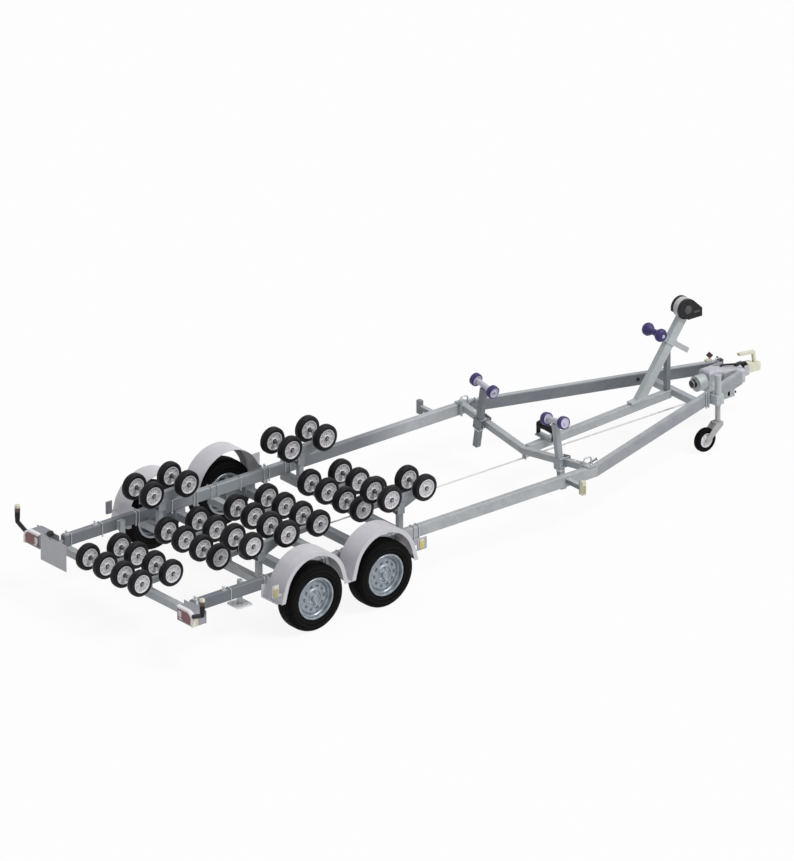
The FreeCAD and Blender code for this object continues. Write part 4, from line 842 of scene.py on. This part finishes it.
def bow_bracket(shape, side):
    """Loop bracket, plates and bolts that hold the bow cross tube to the beam."""
    rear_x, loop_y = 3330, 861
    loop = ((3340, 500), (3340, 574), (3358, 592), (3408, 592), (3426, 574), (3426, 500))
    shape.wire([(x, side * loop_y, z) for x, z in loop], 8, zinc_bolt, 12)
    shape.span((rear_x, BEND_X), sided(side, 853, 870), (500, 528), galvanised, 3)
    shape.span((rear_x, rear_x + 8), sided(side, 822, 868), (420, 560), post_zinc, 3)
    lever_end = (3500, side * 846, 540)
    shape.rod((3395, side * 840, 512), lever_end, 9, strut_zinc)
    shape.bolt(lever_end, (1, 0, 0.25), 8)
    shape.span((rear_x, rear_x + 100), sided(side, 866, 936), (522, 530), galvanised, 2)
    shape.bolt((3370, side * 700, 500), UP, 10)
    for x in (3352, 3388):
        shape.bolt((x, side * BEAM_Y, 530), UP, 8)


def beam_fittings():
    """U-bolts, nuts and clips along both beams and on the bow cross tube."""
    shape = Shape()
    for side in (-1, 1):
        beam_bolts(shape, side)
        bow_bracket(shape, side)
        clip_x, clip_y = -1123, BEAM_OUTER_Y + 5
        shape.span(about(clip_x, 15), sided(side, BEAM_OUTER_Y - 1, clip_y), (396, 524), zinc_bolt, 2)
        shape.bolt((clip_x, side * clip_y, 440), (0, side, 0), 7)
        # Pale collars round the bow post above and below the cross tube.
        foot, _, along, across = bow_post(side)
        collar_half, collar_height = 31, 15
        for distance in (168, 268):
            middle = foot + along * distance
            corners = [middle + Vector((i * collar_half, 0, 0)) + across * (j * collar_half) for i, j in SQUARE]
            shape.prism(corners, along * collar_height, zinc_bolt, 3)
    shape.place("beam_fittings", ROOT)


def support_legs():
    """Round tube on a square foot plate with rounded corners."""
    corner, thickness, tube_radius = 28, 8, 20
    for name in ("support_leg_left", "support_leg_right"):
        low, high = extent(name)
        x, y = (low.x + high.x) / 2, (low.y + high.y) / 2
        size = (high.x - low.x) / 2
        outline = []
        for i, j, start in ((1, 1, 0), (-1, 1, 90), (-1, -1, 180), (1, -1, 270)):
            for step in range(5):
                angle = math.radians(start + 22.5 * step)
                outline.append((x + i * (size - corner) + corner * math.cos(angle),
                                y + j * (size - corner) + corner * math.sin(angle), low.z))
        shape = Shape()
        # The foot plate's near-white is painted light against the beam's shadow; the tube shares the near
        # beam's painted shade.
        shape.prism(outline, (0, 0, thickness), foot_painted_light, 2)
        top = low.z + thickness
        for i in range(5):
            for sign in (-1, 1):
                shape.box((x - 50 + 25 * i, y + sign * (45 + 12 * (i % 2)), top), (9, 9, 3), dull_steel, 1)
        shape.rod((x, y, low.z + 4), (x, y, high.z), tube_radius, beam_zinc_painted_shade, 2, 28)
        shape.lathe([(tube_radius, 8), (30, 8), (30, 10), (tube_radius, 18)], beam_zinc_painted_shade, (x, y, low.z), UP, 28)
        shape.bolt((x + 50, y + 50, top), UP, 5)
        shape.place(name + "_form", name, name)


def bow_rollers():
    """Blue rollers with pale ribbed faces on each bow post."""
    above_post, apart = 26, 119
    tread = [(47, -22), (48, -25.5), (53, -26), (58, -22), (59.6, -16), (60, -5)]
    tread += other_half(tread)
    face = [(47.5, 22), (46, 25), (42, 25), (40, 20), (24, 19), (20, 23), (13, 24), (12.5, 20)]
    bush = [(12.2, -20), (12.2, 20), (16, 20), (16, -20)]
    for side, name in ((1, "bow_rollers_left"), (-1, "bow_rollers_right")):
        _, top, along, across = bow_post(side)
        shape = Shape()
        for sign in (-1, 1):
            middle = top + along * above_post + across * (sign * apart)
            shape.ring(tread, blue_rubber, middle=middle, axis=across, steps=40)
            shape.lathe(other_half(face) + face, blue_face, middle, across, 32)
            shape.ring(bush, blue_face, middle=middle, axis=across, steps=24)
        shape.place(name + "_form", BODY_OF[name], name, slot="blue_rubber")


def jockey_wheel():
    """Black tyre on a pale spoked hub."""
    low, high = extent("jockey_wheel")
    middle = (low + high) / 2
    radius, half = (high.z - low.z) / 2, (high.y - low.y) / 2
    tread = [(66, 6 - half), (70, 2 - half), (90, -half), (102, 3 - half), (109, 9 - half), (radius, 17 - half)]
    shape = Shape()
    shape.ring(tread + other_half(tread), tyre_rubber, middle=middle, steps=64)
    face = [(67, half - 8), (66, half - 3), (62, half - 3), (59, half - 12), (34, half - 14), (31, half - 3),
            (20, half - 2), (12.2, half - 2)]
    shape.lathe(other_half(face) + face, hub_ring, middle, steps=48)
    spokes, start, end, half_width, depth = 6, 30, 62, 4, 7
    for side in (-1, 1):
        base = middle + Vector((0, side * (half - 14.2), 0))
        for i in range(spokes):
            shape.bar(base, math.tau * i / spokes, start, end, half_width, side * depth, hub_grey_and_recess_shade)
    shape.place("jockey_wheel_form", BODY_OF["jockey_wheel"], "jockey_wheel", slot="roller_rubber")


def coupling_fittings(shape):
    """Caps, bolts, lever and slots on the coupling's housing."""
    shape.lathe([(0, -4), (32, -4), (39, 2), (40, 30), (38.2, 30)], black_plastic, (5303, 0, 462),
                (1, 0, 0), 32)
    for side in (-1, 1):
        for x in (5480, 5530, 5610):
            shape.bolt((x, side * HOUSING_HALF, 440), (0, side, 0), 10)
        for z in (300, 380):
            shape.bolt((5640, side * HOUSING_HALF, z), (0, side, 0), 9)
        shape.span((5868, 5926), sided(side, 52, 58), (402, 500), housing_paint, 3)
    shape.span((5860, 5928), (-58, 58), (398, 406), housing_paint, 3)
    # Lever on top of the housing, and its two blocks.
    lever = [(5655, 26, 526), (5668, 24, 538), (5720, 14, 532), (5790, 4, 520), (5826, 0, 512), (5870, 0, 506),
             (5915, 0, 500)]
    shape.wire(lever, 9, black_plastic)
    for x, z, tall in ((5822, 502, 34), (5888, 496, 30)):
        shape.box((x, 2, z), (40, 38, tall), black_plastic, 9, 3)
    # Slots in the lower lever plates, drawn as near-black blocks of painted shade, and the brake rod's end.
    for side in (-1, 1):
        shape.span((5660, 5685), sided(side, 72, HOUSING_HALF + 1.5), (268, 330), tyre_groove_and_slot_shade, 3)
        shape.bolt((5725, side * HOUSING_HALF, 280), (0, side, 0), 7)
    shape.rod((5735, -20, 262), (5790, -20, 258), 6, zinc_bolt)
    shape.lathe([(0, 0), (10, 0), (12, 5), (10, 10), (0, 10)], black_plastic, (5788, -20, 258), (1, 0, 0), 16)


def drawbar_fittings(shape):
    """Reflector, studs, plug and clamp plates on the two drawbars."""
    # Dark red diamond reflector on a cream foot.
    shape.span((5630, 5692), (180, 222), (521, 536), lens_cream, 4)
    quarters = [math.pi / 4 + math.pi / 2 * i for i in range(4)]
    shape.lathe([(0, -3), (33, -3), (35, 0), (33, 3), (0, 3)], marker_red, (5676, 200, 572), (-0.8, -0.6, 0),
                angles=quarters)
    for x in (5708, 5738):
        shape.rod((x, 142, 520), (x, 142, 552), 7, zinc_bolt)
        shape.bolt((x, 142, 546), UP, 6)
    # A plate on the left drawbar, in the drawbar's painted shade.
    shape.span((5744, 5754), (98, 190), (424, 548), far_bar_painted_shade, 2)
    # Rubber plug on the inner face of the left drawbar, which bends in by 18 degrees.
    slope = math.tan(math.radians(18))
    plug_x, plug_z, across_bar = 4985, 474, 63.1
    inner = Vector((plug_x, BEAM_OUTER_Y - (plug_x - BEND_X + 5) * slope - across_bar, plug_z))
    outward = Vector((-slope, -1, 0)).normalized()
    shape.lathe([(0, -2), (17, -2), (17, 7), (14, 10), (0, 10)], black_plastic, inner, outward, 4)
    # Clamp plates across the right drawbar, on each side of the jockey wheel's sleeve.
    bottom = 398
    plate = ((-9, -2), (9, 4), (9, -8), (-9, -14))
    for x, y, top in ((5160, -371, 552), (5350, -309, 560)):
        for shift in (0, 26):
            shape.prism([(x + shift + i, y + j, bottom) for i, j in plate], (0, 0, top - bottom), post_zinc, 2)
        for z in (428, 502):
            shape.bolt((x + 13, y - 6, z), (0, -1, 0), 8, dull_steel)


def winch_fittings(shape):
    """Grey drum between a narrow left cover and a wide right one, with a boss and ribs on its side."""
    x, z, cover_y = 5206, 1236, 65
    covers = [(84, -40), (97, -39), (97.5, -30), (95, -24), (84, -23)]
    shape.ring([(84, -28), (94, -27), (94, 36), (84, 37)], grey_drum, middle=(x, 0, z), steps=56)
    shape.ring(covers, black_plastic, middle=(x, 0, z), steps=56)
    boss = [(0, 0), (40, 0), (38, 3), (20, 4), (17, 8), (0, 8)]
    for side in (-1, 1):
        y = side * cover_y
        shape.lathe(boss, grey_band, (x, y, z), (0, side, 0), 36)
        shape.span((x + 64, x + 134), (y, y + side * 3), about(z - 40, 10), grey_band, 3)


def bow_stop_fittings(shape):
    """Waist between the two lobes of the bow-stop roller, and the caps at its ends."""
    low, high = extent("bow_stop_roller")
    centre = (low + high) / 2
    shape.ring([(20, -26.5), (30, -26.5), (29.5, 0), (30, 26.5), (20, 26.5)], blue_rubber, middle=centre,
               steps=36)
    for side in (-1, 1):
        shape.lathe([(0, 0), (16, 0), (15, 5), (0, 7)], blue_face, centre + Vector((0, side * 125, 0)),
                    (0, side, 0), 20)


def front_fittings():
    """Small parts round the coupling, the drawbars, the winch and the bow stop."""
    shape = Shape()
    coupling_fittings(shape)
    drawbar_fittings(shape)
    winch_fittings(shape)
    bow_stop_fittings(shape)
    shape.place("front_fittings", ROOT)


road_wheels()
rollers()
plain_forms()
rear_lamps()
light_fittings()
marker_arms()
beam_fittings()
support_legs()
bow_rollers()
jockey_wheel()
front_fittings()

put_camera()
put_world(0.40)
put_sun("key", (0.27, -0.48, 0.83), 2.15, 0.6)
put_floor(60.0, 0.1)
bpy.context.scene.view_settings.view_transform = "Standard"
